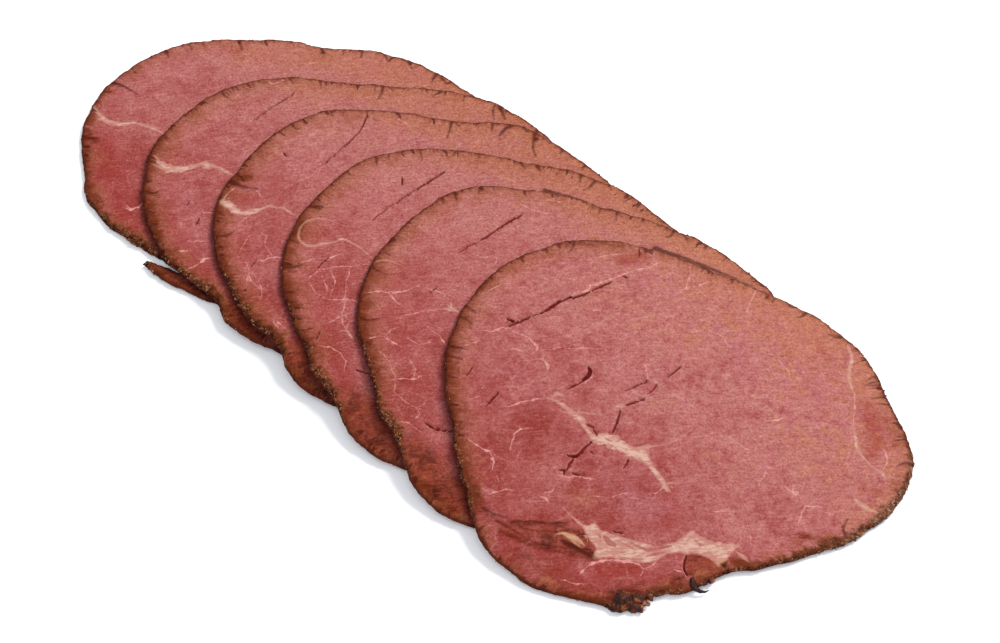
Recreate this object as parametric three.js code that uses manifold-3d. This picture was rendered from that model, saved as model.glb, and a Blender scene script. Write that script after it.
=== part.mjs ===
// Roast beef in six thin slices, fanned in the order they were cut. Each slice lies on the one before it,
// and its free end droops to the table. A slice is one closed solid with a rounded, craggy browned rim.
// An open crevice between two muscles splits the first slice near its rim. The others show it as a notch.
// Millimetres, +Z up. The origin is on the table under the middle of the fan, which runs along +X.

import * as THREE from "three";
import { mergeVertices } from "three/addons/utils/BufferGeometryUtils.js";
import Module from "manifold-3d";

// Driving sizes of a slice
const thickness = 2.2;
const rimRounding = 0.9;
const rimLift = 0.5; // the most that a rim curls up off what it lies on
const rimLiftStart = 0.72; // share of the way out to the rim where the curl begins

// The cut through the roast: middle to rim, every 22.5 degrees. It changes evenly from the first slice to the last.
const firstRim = [66.8, 70.7, 66.3, 58.5, 53.4, 48.8, 52.5, 61.1, 66.5, 65.7, 59.5, 51, 51.4, 52.1, 54.2, 58.3];
const lastRim = [66.7, 74.5, 66.6, 61.5, 53.8, 51.5, 58.5, 65.6, 65.4, 62.9, 58, 63.7, 64.8, 61.6, 54.2, 55.6];

// Where each slice's middle lies, and how many degrees it is turned
const layout = [
  { middle: [-71.3, 12.5], turned: 3 },
  { middle: [-45.5, 9.5], turned: 4 },
  { middle: [-19.7, 7.6], turned: 3 },
  { middle: [6.8, 3.3], turned: 0.5 },
  { middle: [34.6, 0.7], turned: -0.5 },
  { middle: [66.8, -3.2], turned: 0 },
];

// How the slices settle on each other
const airGap = 0.35;
const settleRadius = 8; // a slice bridges steps beneath it that are closer than this
const footprintMargin = 2; // each slice holds up the next one this far past its rim

// The browned rim's crags: a wave count round the rim and its size, larger where the crust is thick
const cragWaves = [
  { count: 9, size: 0.12 },
  { count: 17, size: 0.14 },
  { count: 29, size: 0.14 },
  { count: 43, size: 0.14 },
];
const thickCrust = { bearing: 322, halfWidth: 62, boost: 1 };

// Bumps (out above 0) and notches of each slice's rim: bearing and half width in degrees of the slice itself,
// and how far out in mm. The crevice shows as a notch near 245 degrees in every slice but the first.
const rimBumps = [
  [
    [126, 14, 1.3], [207, 10, -1.4], [218, 8, 0.9], [234.5, 6, -0.6], [240.5, 3, 0.4], [248.5, 6, 2.6],
    [255, 11, 3.4], [264, 9, 0.6],
  ],
  [[71, 26, 1.2], [128, 18, -1.5], [189, 12, 1.2], [235, 10, -1.4], [245, 12, -2.4], [254, 9, 1.3], [272, 10, -1.2]],
  [[67, 24, -2.6], [96, 14, 1.5], [150, 24, 0.6], [178, 12, -0.8], [245, 12, -2.4], [260, 16, 1.3]],
  [[69, 16, -2], [106, 20, 0.7], [161, 10, 0.5], [229, 8, -1.1], [240, 8, 1.2], [245, 12, -2.4], [263, 14, 0.9]],
  [[56, 12, 1], [153, 16, 1.4], [245, 12, -3], [265, 14, 1.1]],
  [
    [34, 10, -0.7], [58, 20, 1.5], [112, 20, 1.3], [158, 10, -1.3], [203, 12, -0.8], [227, 9, 1.6], [245, 12, -2.4],
    [246, 10, 1.2], [253, 7, 1.1], [281, 13, -1.4], [285, 6, -0.8], [294, 5, 1.9], [303, 6, -1.9], [313, 5, 1.6],
    [325.5, 8, -1.7], [340, 8, 0.9], [350, 8, -0.8],
  ],
];

// The first slice's open crevice: two edges that meet at its end, each curved about one point
const crevice = {
  upper: { mouth: [-99, -34], about: [-90, -34] },
  lower: { mouth: [-90.3, -39.2], about: [-90.2, -35.4] },
  end: [-78.5, -35.4],
  endWidth: 0.5,
};

// The mesh of a slice: rings from the middle outwards, each as a share of the way to the rim
const rings = [
  { share: 0.14, spokes: 8 },
  { share: 0.28, spokes: 16 },
  { share: 0.42, spokes: 32 },
  { share: 0.56, spokes: 32 },
  { share: 0.7, spokes: 64 },
  { share: 0.82, spokes: 64 },
  { share: 0.92, spokes: 128 },
];
const rimSpokes = 128;

// The square grid of heights that records what already lies on the table
const cell = 2;
const gridHalf = { x: 156, y: 92 };
const columns = (2 * gridHalf.x) / cell + 1;
const rows = (2 * gridHalf.y) / cell + 1;

const turn = 2 * Math.PI;
const degrees = turn / 360;

// A smooth closed curve through a ring of values
function ringValue(values, bearing) {
  const place = (((bearing / turn) % 1) + 1) * values.length;
  const before = Math.floor(place);
  const t = place - before;
  const [a, b, c, d] = [-1, 0, 1, 2].map((step) => values[(before + step) % values.length]);
  return b + 0.5 * t * (c - a + t * (2 * a - 5 * b + 4 * c - d + t * (3 * (b - c) + d - a)));
}

// A bump's share at a bearing: 1 at its middle, 0 past its half width
function bumpShare(middle, halfWidth, bearing) {
  const away = Math.abs(((bearing / degrees - middle + 540) % 360) - 180);
  return THREE.MathUtils.smoothstep(halfWidth - away, 0, halfWidth);
}

// Waves round the rim with phases drawn from a seed
function makeWaves(seed, waves) {
  THREE.MathUtils.seededRandom(seed);
  const phased = waves.map((wave) => ({ ...wave, phase: turn * THREE.MathUtils.seededRandom() }));
  return (bearing) =>
    phased.reduce((sum, { count, size, phase }) => sum + size * Math.sin(count * bearing + phase), 0);
}

// Slice number index, as functions of the bearing from its middle
function makeSlice(index) {
  const { middle, turned } = layout[index];
  const share = index / (layout.length - 1);
  const radii = firstRim.map((radius, i) => THREE.MathUtils.lerp(radius, lastRim[i], share));
  const isFirst = index === 0;
  const crags = makeWaves(11 + index, cragWaves);
  const curl = makeWaves(51 + index, [
    { count: 2, size: 0.3 },
    { count: 5, size: 0.3 },
  ]);
  return {
    name: "slice_" + (index + 1),
    middle,
    rim(bearing) {
      const own = bearing - turned * degrees;
      const roughness = 1 + thickCrust.boost * bumpShare(thickCrust.bearing, thickCrust.halfWidth, own);
      const bumped = rimBumps[index].reduce(
        (sum, [where, halfWidth, out]) => sum + out * bumpShare(where, halfWidth, own),
        0,
      );
      return ringValue(radii, own) + bumped + roughness * crags(own);
    },
    lift(bearing, out) {
      const raised = isFirst ? 0 : THREE.MathUtils.clamp(0.45 + curl(bearing), 0, 1);
      return rimLift * raised * THREE.MathUtils.smoothstep(out, rimLiftStart, 1);
    },
  };
}

// Bearing and share of the way out to the rim of a point, seen from a slice's middle
function fromMiddle(slice, x, y, margin = 0) {
  const [dx, dy] = [x - slice.middle[0], y - slice.middle[1]];
  const bearing = Math.atan2(dy, dx);
  return { bearing, out: Math.hypot(dx, dy) / (slice.rim(bearing) + margin) };
}

// A grid made by asking for a value at each cell
function makeGrid(valueAt) {
  const grid = new Float32Array(columns * rows);
  for (let row = 0; row < rows; row++) {
    for (let column = 0; column < columns; column++) {
      grid[row * columns + column] = valueAt(column, row);
    }
  }
  return grid;
}

// The grid's cells within settleRadius of one cell, gathered into one value
function gather(grid, combine) {
  const reach = settleRadius / cell;
  return makeGrid((column, row) => {
    const near = [];
    for (let j = -reach; j <= reach; j++) {
      for (let i = -reach; i <= reach; i++) {
        if (i * i + j * j > reach * reach) continue;
        const c = THREE.MathUtils.clamp(column + i, 0, columns - 1);
        const r = THREE.MathUtils.clamp(row + j, 0, rows - 1);
        near.push(grid[r * columns + c]);
      }
    }
    return combine(near);
  });
}

// The height of a grid at any point, in straight lines between cells
function heightAt(grid, x, y) {
  const column = THREE.MathUtils.clamp((x + gridHalf.x) / cell, 0, columns - 1.001);
  const row = THREE.MathUtils.clamp((y + gridHalf.y) / cell, 0, rows - 1.001);
  const [c, r] = [Math.floor(column), Math.floor(row)];
  const at = (i, j) => grid[(r + j) * columns + c + i];
  const low = THREE.MathUtils.lerp(at(0, 0), at(1, 0), column - c);
  const high = THREE.MathUtils.lerp(at(0, 1), at(1, 1), column - c);
  return THREE.MathUtils.lerp(low, high, row - r);
}

// How far above its bed a slice hangs: it touches the table but not what lies under it
function hang(bedHeight) {
  return airGap * THREE.MathUtils.smoothstep(bedHeight, 0, airGap);
}

// The soft bed on which the next slice comes to rest: never below the pile, and with its steps bridged
function settle(pile) {
  const highest = gather(pile, (near) => Math.max(...near));
  return gather(highest, (near) => near.reduce((sum, height) => sum + height, 0) / near.length);
}

// The pile with a slice laid on its bed
function layOn(pile, bed, slice) {
  return makeGrid((column, row) => {
    const place = row * columns + column;
    const [x, y] = [column * cell - gridHalf.x, row * cell - gridHalf.y];
    const { bearing, out } = fromMiddle(slice, x, y, footprintMargin);
    if (out > 1) return pile[place];
    const top = bed[place] + hang(bed[place]) + slice.lift(bearing, out) + thickness;
    return Math.max(pile[place], top);
  });
}

// Joins an inner ring of points to an outer one with as many or twice as many, as two lists of point numbers
function joinRings(faces, inner, outer, flipped) {
  const twice = outer.length === 2 * inner.length;
  const add = (a, b, c) => faces.push(...(flipped ? [a, c, b] : [a, b, c]));
  for (let i = 0; i < inner.length; i++) {
    const next = (i + 1) % inner.length;
    const j = twice ? 2 * i : i;
    const [b0, b1, b2] = [j, j + 1, j + 2].map((k) => outer[k % outer.length]);
    add(inner[i], b0, b1);
    add(inner[i], b1, inner[next]);
    if (twice) add(inner[next], b1, b2);
  }
}

// The closed skin of a slice on its bed
function sliceGeometry(slice, bed) {
  const points = [];
  const faces = [];
  const addPoint = (bearing, distance, levelShare) => {
    const x = slice.middle[0] + distance * Math.cos(bearing);
    const y = slice.middle[1] + distance * Math.sin(bearing);
    const bedHeight = heightAt(bed, x, y);
    const lift = slice.lift(bearing, distance / slice.rim(bearing));
    points.push(x, y, bedHeight + hang(bedHeight) + lift + levelShare * thickness);
    return points.length / 3 - 1;
  };
  const addRing = (spokes, distanceAt, levelShare) =>
    Array.from({ length: spokes }, (_, i) => {
      const bearing = (turn * i) / spokes;
      return addPoint(bearing, distanceAt(bearing), levelShare);
    });
  const edge = addRing(rimSpokes, (bearing) => slice.rim(bearing), 0.5);
  for (const [levelShare, flipped] of [
    [1, false],
    [0, true],
  ]) {
    let inner = null;
    const centre = addPoint(0, 0, levelShare);
    for (const { share, spokes } of rings) {
      const ring = addRing(spokes, (bearing) => share * slice.rim(bearing), levelShare);
      if (inner) joinRings(faces, inner, ring, flipped);
      else {
        ring.forEach((point, i) => {
          const next = ring[(i + 1) % spokes];
          faces.push(...(flipped ? [centre, next, point] : [centre, point, next]));
        });
      }
      inner = ring;
    }
    const shoulder = addRing(rimSpokes, (bearing) => slice.rim(bearing) - rimRounding, levelShare);
    joinRings(faces, inner, shoulder, flipped);
    joinRings(faces, shoulder, edge, flipped);
  }
  const geometry = new THREE.BufferGeometry();
  geometry.setAttribute("position", new THREE.Float32BufferAttribute(points, 3));
  geometry.setIndex(faces);
  return geometry;
}

// The upright blade that cuts the open crevice
function creviceBlade() {
  const { upper, lower, end, endWidth } = crevice;
  const outline = new THREE.Shape();
  outline.moveTo(...lower.mouth);
  outline.quadraticCurveTo(...lower.about, end[0], end[1] - endWidth / 2);
  outline.lineTo(end[0], end[1] + endWidth / 2);
  outline.quadraticCurveTo(...upper.about, ...upper.mouth);
  const blade = new THREE.ExtrudeGeometry(outline, {
    depth: 3 * thickness,
    bevelEnabled: false,
    curveSegments: 10,
  });
  return blade.translate(0, 0, -thickness);
}

const wasm = await Module();
wasm.setup();

function toSolid(geometry) {
  const bare = geometry.clone();
  bare.deleteAttribute("normal");
  bare.deleteAttribute("uv");
  const merged = mergeVertices(bare, 1e-4);
  return new wasm.Manifold(
    new wasm.Mesh({
      numProp: 3,
      vertProperties: merged.attributes.position.array,
      triVerts: new Uint32Array(merged.index.array),
    }),
  );
}

function fromSolid(solid) {
  const { vertProperties, triVerts } = solid.getMesh();
  const geometry = new THREE.BufferGeometry();
  geometry.setAttribute("position", new THREE.BufferAttribute(vertProperties, 3));
  geometry.setIndex(new THREE.BufferAttribute(triVerts, 1));
  return geometry;
}

function meatMaterial() {
  return new THREE.MeshStandardMaterial({ color: 0xb86a62, roughness: 0.55, metalness: 0 });
}

// The slices go down one by one, each on what already lies there. Then the whole fan is centred.
function buildFan() {
  const fan = new THREE.Group();
  let pile = makeGrid(() => 0);
  layout.forEach((_, index) => {
    const slice = makeSlice(index);
    const bed = settle(pile);
    let geometry = sliceGeometry(slice, bed);
    if (index === 0) geometry = fromSolid(toSolid(geometry).subtract(toSolid(creviceBlade())));
    const mesh = new THREE.Mesh(geometry, meatMaterial());
    mesh.name = slice.name;
    fan.add(mesh);
    pile = layOn(pile, bed, slice);
  });
  const middle = new THREE.Box3().setFromObject(fan).getCenter(new THREE.Vector3());
  for (const { geometry } of fan.children) {
    geometry.translate(-middle.x, -middle.y, 0);
    geometry.computeVertexNormals();
  }
  return fan;
}

export default buildFan();
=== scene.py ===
import math
import random

import bmesh
import bpy
import numpy as np
from mathutils import Matrix, Vector, noise
from mathutils.bvhtree import BVHTree
from mathutils.kdtree import KDTree


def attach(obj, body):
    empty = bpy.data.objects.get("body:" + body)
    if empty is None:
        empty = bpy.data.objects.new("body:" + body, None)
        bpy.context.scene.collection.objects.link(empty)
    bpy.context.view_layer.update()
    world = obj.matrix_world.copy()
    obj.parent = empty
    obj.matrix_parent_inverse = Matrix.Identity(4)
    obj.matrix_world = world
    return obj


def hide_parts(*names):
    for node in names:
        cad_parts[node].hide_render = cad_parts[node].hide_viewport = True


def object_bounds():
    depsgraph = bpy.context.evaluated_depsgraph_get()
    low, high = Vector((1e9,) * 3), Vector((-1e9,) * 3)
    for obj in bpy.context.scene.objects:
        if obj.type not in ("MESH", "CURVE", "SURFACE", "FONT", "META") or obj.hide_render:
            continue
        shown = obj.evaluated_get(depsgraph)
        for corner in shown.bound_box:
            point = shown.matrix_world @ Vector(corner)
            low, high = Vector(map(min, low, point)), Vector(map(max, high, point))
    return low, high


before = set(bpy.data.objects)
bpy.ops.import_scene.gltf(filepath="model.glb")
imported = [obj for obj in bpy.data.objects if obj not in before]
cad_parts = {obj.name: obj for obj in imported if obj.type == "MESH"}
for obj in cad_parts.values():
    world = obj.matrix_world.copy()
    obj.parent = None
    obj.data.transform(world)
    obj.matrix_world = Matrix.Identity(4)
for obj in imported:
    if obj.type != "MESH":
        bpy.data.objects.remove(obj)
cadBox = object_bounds()
mm = 0.001
farAway = 50.0  # mm, for a point with no line near it


def addObject(name, data):
    made = bpy.data.objects.new(name, data)
    bpy.context.scene.collection.objects.link(made)
    return made


def toMesh(shape, name):
    mesh = bpy.data.meshes.new(name)
    shape.to_mesh(mesh)
    shape.free()
    return mesh


# Camera: where it stands, in degrees round and above what it aims at
cameraLooks = {
    "azimuth": 34.1,
    "elevation": 55,
    "aim": (7.814, 3.69, 0),  # mm
    "distance": 1616.9,  # mm
    "lens": 200,
    "sensor": 36,
    "picture": (1000, 643),  # pixels
    "clip": (0.05, 20),  # m
}


def addCamera(looks):
    around, above = math.radians(looks["azimuth"]), math.radians(looks["elevation"])
    right = Vector((math.cos(around), math.sin(around), 0))
    back = Vector((math.sin(around) * math.cos(above), -math.cos(around) * math.cos(above), math.sin(above)))
    up = back.cross(right)
    data = bpy.data.cameras.new("camera")
    data.lens, data.sensor_width = looks["lens"], looks["sensor"]
    data.clip_start, data.clip_end = looks["clip"]
    camera = addObject("camera", data)
    place = (Vector(looks["aim"]) + back * looks["distance"]) * mm
    camera.matrix_world = Matrix.Translation(place) @ Matrix((right, up, back)).transposed().to_4x4()
    bpy.context.scene.camera = camera
    width, height = looks["picture"]
    focal = looks["lens"] / looks["sensor"] * width  # in pixels

    def sight(x, y):
        return place, (right * (x - width / 2) / focal + up * (height / 2 - y) / focal - back).normalized()

    return sight


sight = addCamera(cameraLooks)
print("camera ready")

# The slices, bottom to top: the middle of each in mm, its turn in degrees, how much crustier its left rim
# is, how far the brown haze reaches in and how blotchy its meat is
slices = [dict(zip(("node", "middle", "turned", "leftCrust", "haze", "blotch"), row)) for row in (
    ("slice_1", (-71.09, 12.49), 3, 0.45, 0.6, 0.4),
    ("slice_2", (-45.29, 9.49), 4, 0.5, 0.9, 0.4),
    ("slice_3", (-19.49, 7.59), 3, 0.5, 1, 0.6),
    ("slice_4", (7.01, 3.29), 0.5, 0.45, 1, 0.6),
    ("slice_5", (34.81, 0.69), -0.5, 0.4, 1, 0.6),
    ("slice_6", (67.01, -3.21), 0, 0, 1, 1),
)]

sliceLooks = {
    "thickness": 2.2,  # mm
    "openSpacing": 1.0,  # mesh spacing on the cut face, mm
    "underSpacing": 2.6,
    "rimSpacing": 0.42,
    "rimBand": 2.2,  # how far in from the rim it is that fine, mm
    "markSpacing": 0.3,
    "markReach": 0.7,  # the fine mesh reaches this far from a seam or crack, mm
    "crag": 0.34,  # how far the browned rim juts in and out, mm
    "cragSizes": (2.4, 1.0),  # mm
    "swell": 0.16,  # how far the rim swells out, mm
    "bump": 0.22,  # how high the crust's bumps are, mm
    "wave": 0.1,  # how far the cut face rises and dips, mm
    "split": 1.1,  # how deep a crack is, mm
    "clearance": 0.04,  # how far all stays inside the frame's box, mm
    "fibres": 40,  # bearing of the muscle fibres, degrees
    "paling": (79, 58),  # the face pales towards this bearing, over this many mm
}

# What marks each cut face, along lines of pixels of the photograph's frame. A patch is the outline of a
# broad field of fat. Fat is a cream seam and meat a red streak in it, with the half width in mm at each
# pixel. A thread is a hair of fat, a crack an open split, and a streak a dark brown wedge that starts at
# the rim; the long streaks along the top rims of slices 4 and 5 are painted shadow in the gap under the
# rim of the slice above. Each has its half width first.
marks = {
    "slice_6": {
        "patch": [
            [(580, 523), (587, 525), (591, 524), (594, 519), (597, 526), (603, 530), (614, 534), (628, 538),
             (643, 543), (657, 546), (671, 543), (680, 538), (687, 533), (692, 530), (700, 535), (709, 540),
             (719, 543), (737, 544), (741, 546), (733, 552), (728, 559), (724, 566), (718, 566), (711, 560),
             (703, 556), (693, 554), (686, 555), (674, 553), (664, 556), (657, 561), (643, 563), (629, 561),
             (614, 558), (603, 558), (594, 560), (592, 556), (596, 549), (590, 541), (585, 533), (580, 523)],
        ],
        "fat": [
            # the seam across the middle, and its branches
            [(544, 398, 0.15), (551, 399, 0.35), (558, 402, 0.6), (567, 408, 0.85), (574, 414, 1.1),
             (581, 420, 1.2), (585, 427, 0.9), (589, 432, 0.75), (595, 439, 1.2), (604, 439, 2),
             (613, 442, 2.3), (621, 446, 1.9), (629, 451, 1.6), (638, 454, 2), (645, 459, 1.4),
             (651, 466, 0.9), (656, 473, 0.9), (662, 481, 0.85), (666, 488, 0.9), (670, 492, 0.3)],
            [(551, 399, 0.35), (556, 394, 0.65), (559, 394, 0.7), (565, 396, 0.15)],
            [(640, 450, 1.4), (647, 447, 0.9), (653, 446, 0.45), (661, 445, 0.25), (674, 441, 0.25),
             (683, 436, 0.22), (692, 429, 0.3)],
            [(579, 412, 0.5), (589, 414, 0.3), (597, 414, 0.2), (607, 414, 0.08)],
            [(617, 406, 0.5), (621, 406, 0.8), (625, 405, 0.4)], [(645, 397, 0.5), (648, 398, 0.4)],
            [(656, 382, 0.5), (659, 384, 0.3)],
            [(668, 483, 0.4), (679, 483, 0.25), (691, 481, 0.2), (702, 476, 0.15), (713, 471, 0.08)],
            [(536, 359, 0.2), (543, 360, 0.45), (548, 366, 0.6), (547, 371, 0.2)],
            [(543, 355, 0.15), (543, 360, 0.4)],
            [(562, 508, 0.12), (569, 514, 0.25), (577, 521, 0.45), (584, 527, 0.6)],
            # beside the broad field
            [(555, 535, 0.15), (562, 533, 0.5), (568, 535, 0.8), (575, 538, 0.85), (580, 541, 0.6),
             (585, 546, 0.2)],
            [(566, 536, 0.3), (573, 541, 0.6), (580, 547, 0.25)],
            [(737, 552, 0.35), (743, 557, 0.8), (749, 562, 0.2)],
            # along the right rim
            [(848, 347, 0.75), (852, 358, 0.65), (849, 372, 0.8), (851, 385, 0.6), (855, 395, 0.32)],
            [(853, 428, 0.2), (856, 440, 0.6), (858, 450, 0.8), (865, 460, 0.5), (873, 468, 0.42),
             (882, 473, 0.7), (885, 481, 0.2)],
            [(855, 499, 0.35), (861, 505, 1.05), (870, 510, 0.6), (882, 514, 0.3)],
            [(632, 498, 0.4), (638, 499, 0.25)],
        ],
        "meat": [
            [(605, 537, 0.6), (609, 542, 1), (614, 545, 0.6)],
            [(631, 543, 0.2), (641, 548, 0.42), (648, 550.5, 0.6), (658, 549, 0.55), (671, 546, 0.25)],
            [(646, 556.5, 0.2), (655, 554.5, 0.5), (664, 552.5, 0.2)],
            [(618, 541, 0.08), (628, 546, 0.16), (636, 551, 0.08)],
            [(610, 551, 0.06), (622, 552, 0.14), (634, 555, 0.06)],
            [(617, 556, 0.08), (630, 559, 0.16), (643, 560, 0.06)],
            [(692, 538, 0.1), (698, 543, 0.3), (706, 547, 0.12)],
            [(596, 531, 0.08), (600, 536, 0.2), (600, 542, 0.08)],
            [(587, 425, 0.55), (593, 427, 0.5), (598, 433, 0.25)],
            [(602, 436, 0.1), (608, 440, 0.28), (612, 441, 0.1)], [(609, 445, 0.15), (615, 447, 0.2)],
            [(620, 448, 0.1), (630, 450, 0.25)], [(612, 437, 0.1), (621, 443, 0.2)],
            [(643, 463, 0.15), (648, 466, 0.2)], [(696, 541, 0.15), (700, 546, 0.3)],
            [(564, 537, 0.05), (572, 540, 0.16), (579, 545, 0.05)],
        ],
        "thread": [
            (0.24, (476, 328), (490, 331), (500, 329), (510, 328)),
            (0.24, (572, 299), (574, 294), (589, 291), (590, 286), (596, 285), (612, 279), (623, 275),
             (632, 271)),
            (0.2, (632, 271), (650, 268), (660, 263)),
            (0.24, (512, 330), (522, 334), (530, 339), (538, 346), (538, 350)),
            (0.14, (543, 350), (560, 348), (585, 349), (599, 349)), (0.16, (465, 345), (479, 341)),
            (0.15, (478, 297), (489, 290), (501, 285)), (0.24, (595, 310), (600, 311)),
            (0.12, (582, 260), (602, 257), (622, 253)),
            (0.2, (580, 385), (584, 383), (591, 377), (587, 371)), (0.14, (647, 364), (648, 379)),
            (0.2, (646, 364), (649, 365)),
            (0.26, (466, 437), (473, 442), (482, 449), (488, 451), (494, 450)),
            (0.26, (488, 451), (494, 461), (492, 470)), (0.14, (496, 475), (499, 481)),
            (0.2, (505, 407), (511, 406), (521, 402), (530, 401), (544, 398)),
            (0.2, (510, 450), (512, 441), (515, 434), (521, 429), (526, 428)),
            (0.17, (491, 494), (499, 491), (507, 489), (515, 491)),
            (0.24, (545, 493), (552, 492), (553, 489)), (0.26, (541, 497), (546, 499), (548, 502)),
            (0.2, (557, 476), (568, 476), (579, 477), (593, 479)), (0.18, (662, 488), (655, 493)),
            (0.2, (561, 580), (569, 582), (576, 584), (583, 584)),
            (0.26, (580, 573), (587, 567), (595, 562), (610, 560), (627, 561), (640, 565), (644, 569),
             (642, 575)),
            (0.2, (644, 569), (650, 567), (657, 562)),
            (0.16, (673, 569), (679, 572), (684, 573), (686, 577)),
            (0.2, (884, 450), (887, 457), (885, 467), (882, 472)),
            (0.14, (855, 395), (855, 407), (853, 418), (853, 428)),
            (0.22, (798, 523), (802, 513), (806, 506), (823, 507)),
            (0.22, (786, 488), (792, 492), (796, 496)), (0.16, (792, 492), (793, 484), (802, 501)),
            (0.3, (768, 467), (772, 468)), (0.14, (759, 487), (762, 478), (770, 468)),
            (0.22, (772, 421), (778, 420), (783, 419)), (0.14, (778, 359), (788, 370), (792, 382)),
            (0.17, (730, 437), (740, 445), (752, 453)), (0.12, (812, 428), (820, 428)),
            (0.2, (690, 267), (689, 277), (686, 288), (680, 292)),
            (0.14, (686, 288), (697, 287), (708, 281)), (0.18, (756, 291), (751, 301), (746, 311)),
            (0.14, (596, 497), (612, 497), (628, 492)), (0.12, (700, 505), (712, 512), (730, 511)),
            (0.12, (745, 515), (749, 530), (752, 545)), (0.13, (505, 350), (516, 349), (524, 352)),
            (0.12, (470, 400), (480, 396)), (0.12, (640, 318), (655, 314), (672, 316)),
            (0.12, (710, 330), (722, 336), (730, 346)),
        ],
        "crack": [
            # the long one, in pieces
            (0.34, (509, 326), (520, 321), (529, 317)), (0.14, (530, 316), (541, 313)),
            (0.46, (541, 313), (551, 307), (560, 301), (571, 297)),
            (0.34, (573, 298), (582, 295), (589, 292)), (0.28, (592, 290), (601, 286), (611, 282)),
            (0.3, (623, 276), (627, 277)), (0.45, (508, 319), (513, 321)),
            (0.3, (568, 388), (577, 384), (584, 380)),
            (0.62, (583, 380), (588, 376), (590, 371), (589, 368)),
            (0.3, (486, 405), (492, 399), (498, 393)), (0.3, (613, 432), (617, 422), (619, 416), (620, 411)),
            (0.32, (626, 405), (632, 403), (637, 401), (644, 398)),
            (0.22, (649, 393), (653, 389), (656, 385)), (0.22, (667, 377), (673, 373), (680, 367)),
            (0.24, (626, 390), (633, 387), (639, 384), (647, 380)),
            (0.32, (591, 442), (585, 447), (580, 452)), (0.42, (582, 451), (576, 456), (569, 455)),
            (0.32, (573, 459), (569, 464), (567, 469)), (0.3, (560, 470), (564, 470), (564, 474)),
            (0.28, (573, 473), (579, 475)), (0.28, (628, 460), (624, 467)), (0.26, (588, 425), (593, 427)),
            (0.14, (593, 429), (597, 435)), (0.2, (614, 531), (622, 533)),
            (0.24, (686, 556), (684, 563), (684, 569), (687, 575)), (0.18, (467, 375), (472, 368)),
            (0.2, (591, 452), (594, 453)),
        ],
        "streak": [
            (0.35, (483, 508), (492, 513), (501, 516), (510, 519)),
            (0.25, (512, 523), (530, 521), (548, 523), (567, 523)),
            (0.3, (497, 521), (515, 531), (533, 541), (552, 546), (572, 550)),
            (0.25, (520, 527), (538, 531), (556, 531)),
            (0.65, (563, 541), (573, 546), (584, 552), (594, 558)),
            (0.5, (586, 548), (592, 552), (593, 559)), (0.3, (541, 592), (544, 586)),
            (0.6, (445, 348), (456, 347), (467, 349)), (0.45, (445, 357), (454, 357), (462, 359)),
            (0.5, (462, 306), (469, 308), (476, 313)), (0.4, (459, 317), (466, 319), (472, 324)),
            (0.9, (473, 291), (479, 286), (486, 283)), (0.75, (519, 255), (522, 258), (524, 263)),
            (0.4, (495, 271), (500, 272)), (0.4, (545, 247), (547, 253)),
            (0.5, (574, 242), (573, 247), (569, 252)), (0.35, (558, 243), (560, 249)),
            (0.4, (443, 376), (450, 376), (457, 378)), (0.6, (450, 431), (457, 433), (465, 437)),
            (0.5, (888, 391), (878, 388), (868, 389)), (0.45, (884, 381), (874, 382), (864, 386)),
            (0.5, (891, 399), (882, 397), (872, 399)), (0.4, (881, 375), (873, 377), (866, 381)),
            (0.4, (894, 407), (885, 404), (876, 403)), (0.35, (886, 386), (877, 385), (868, 386)),
            (0.45, (907, 440), (898, 436)), (0.45, (913, 464), (904, 463), (896, 467)),
            (0.45, (913, 480), (905, 475)), (0.5, (840, 337), (835, 337), (829, 335)),
            (0.6, (846, 537), (843, 528), (848, 519)), (0.5, (830, 546), (836, 543), (841, 545)),
            (0.5, (712, 270), (712, 275)), (0.5, (733, 278), (732, 283)), (0.5, (752, 285), (755, 290)),
            (0.5, (777, 297), (772, 302)), (0.45, (788, 303), (792, 308)),
            (0.45, (806, 313), (801, 317), (795, 318)),
        ],
    },
    "slice_5": {
        "fat": [
            [(436, 309, 0.15), (446, 309, 0.4), (451, 309, 0.9), (458, 312, 0.5)],
            [(451, 303, 0.25), (451, 308, 0.7)],
            [(372, 264, 0.3), (384, 260, 0.3), (396, 263, 0.22), (406, 268, 0.12)],
        ],
        "thread": [
            (0.22, (361, 294), (374, 291), (388, 292), (404, 292), (420, 285)),
            (0.2, (388, 292), (394, 300), (402, 306)),
            (0.24, (425, 288), (436, 290), (443, 294), (445, 298)),
            (0.18, (370, 338), (384, 337), (391, 341), (402, 347)),
            (0.16, (384, 337), (390, 330), (398, 327)),
            (0.16, (395, 379), (395, 392), (403, 400), (416, 408), (424, 404)),
            (0.14, (386, 380), (400, 379), (414, 379), (430, 373)),
            (0.14, (405, 316), (420, 312), (436, 309)), (0.16, (490, 256), (497, 258), (494, 265)),
            (0.14, (478, 255), (486, 258), (490, 256)), (0.14, (416, 408), (420, 414), (414, 420)),
            (0.12, (520, 203), (530, 210), (548, 214)), (0.13, (380, 352), (388, 360), (396, 379)),
            (0.12, (408, 338), (420, 345), (430, 342)), (0.14, (410, 360), (416, 370), (414, 379)),
            (0.12, (430, 330), (440, 336), (446, 346)), (0.12, (398, 420), (410, 424), (420, 432)),
            (0.12, (540, 205), (548, 200), (560, 202)),
        ],
        "crack": [
            (0.18, (458, 252), (466, 247), (475, 243)), (0.28, (475, 243), (486, 237), (495, 231)),
            (0.34, (496, 230), (508, 222), (521, 215)), (0.28, (426, 423), (434, 428), (452, 430)),
            (0.16, (430, 292), (436, 288)),
        ],
        "streak": [
            (0.55, (358, 318), (368, 320), (379, 319)), (0.4, (366, 267), (378, 271), (388, 275)),
            (0.5, (391, 236), (397, 242)), (0.4, (430, 203), (434, 208)), (0.55, (455, 192), (457, 202)),
            (0.4, (441, 197), (444, 203)), (0.4, (360, 342), (370, 344)), (0.45, (366, 368), (376, 369)),
            (0.4, (480, 187), (479, 193)), (0.6, (602, 207), (599, 213)), (0.5, (617, 212), (616, 220)),
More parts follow.
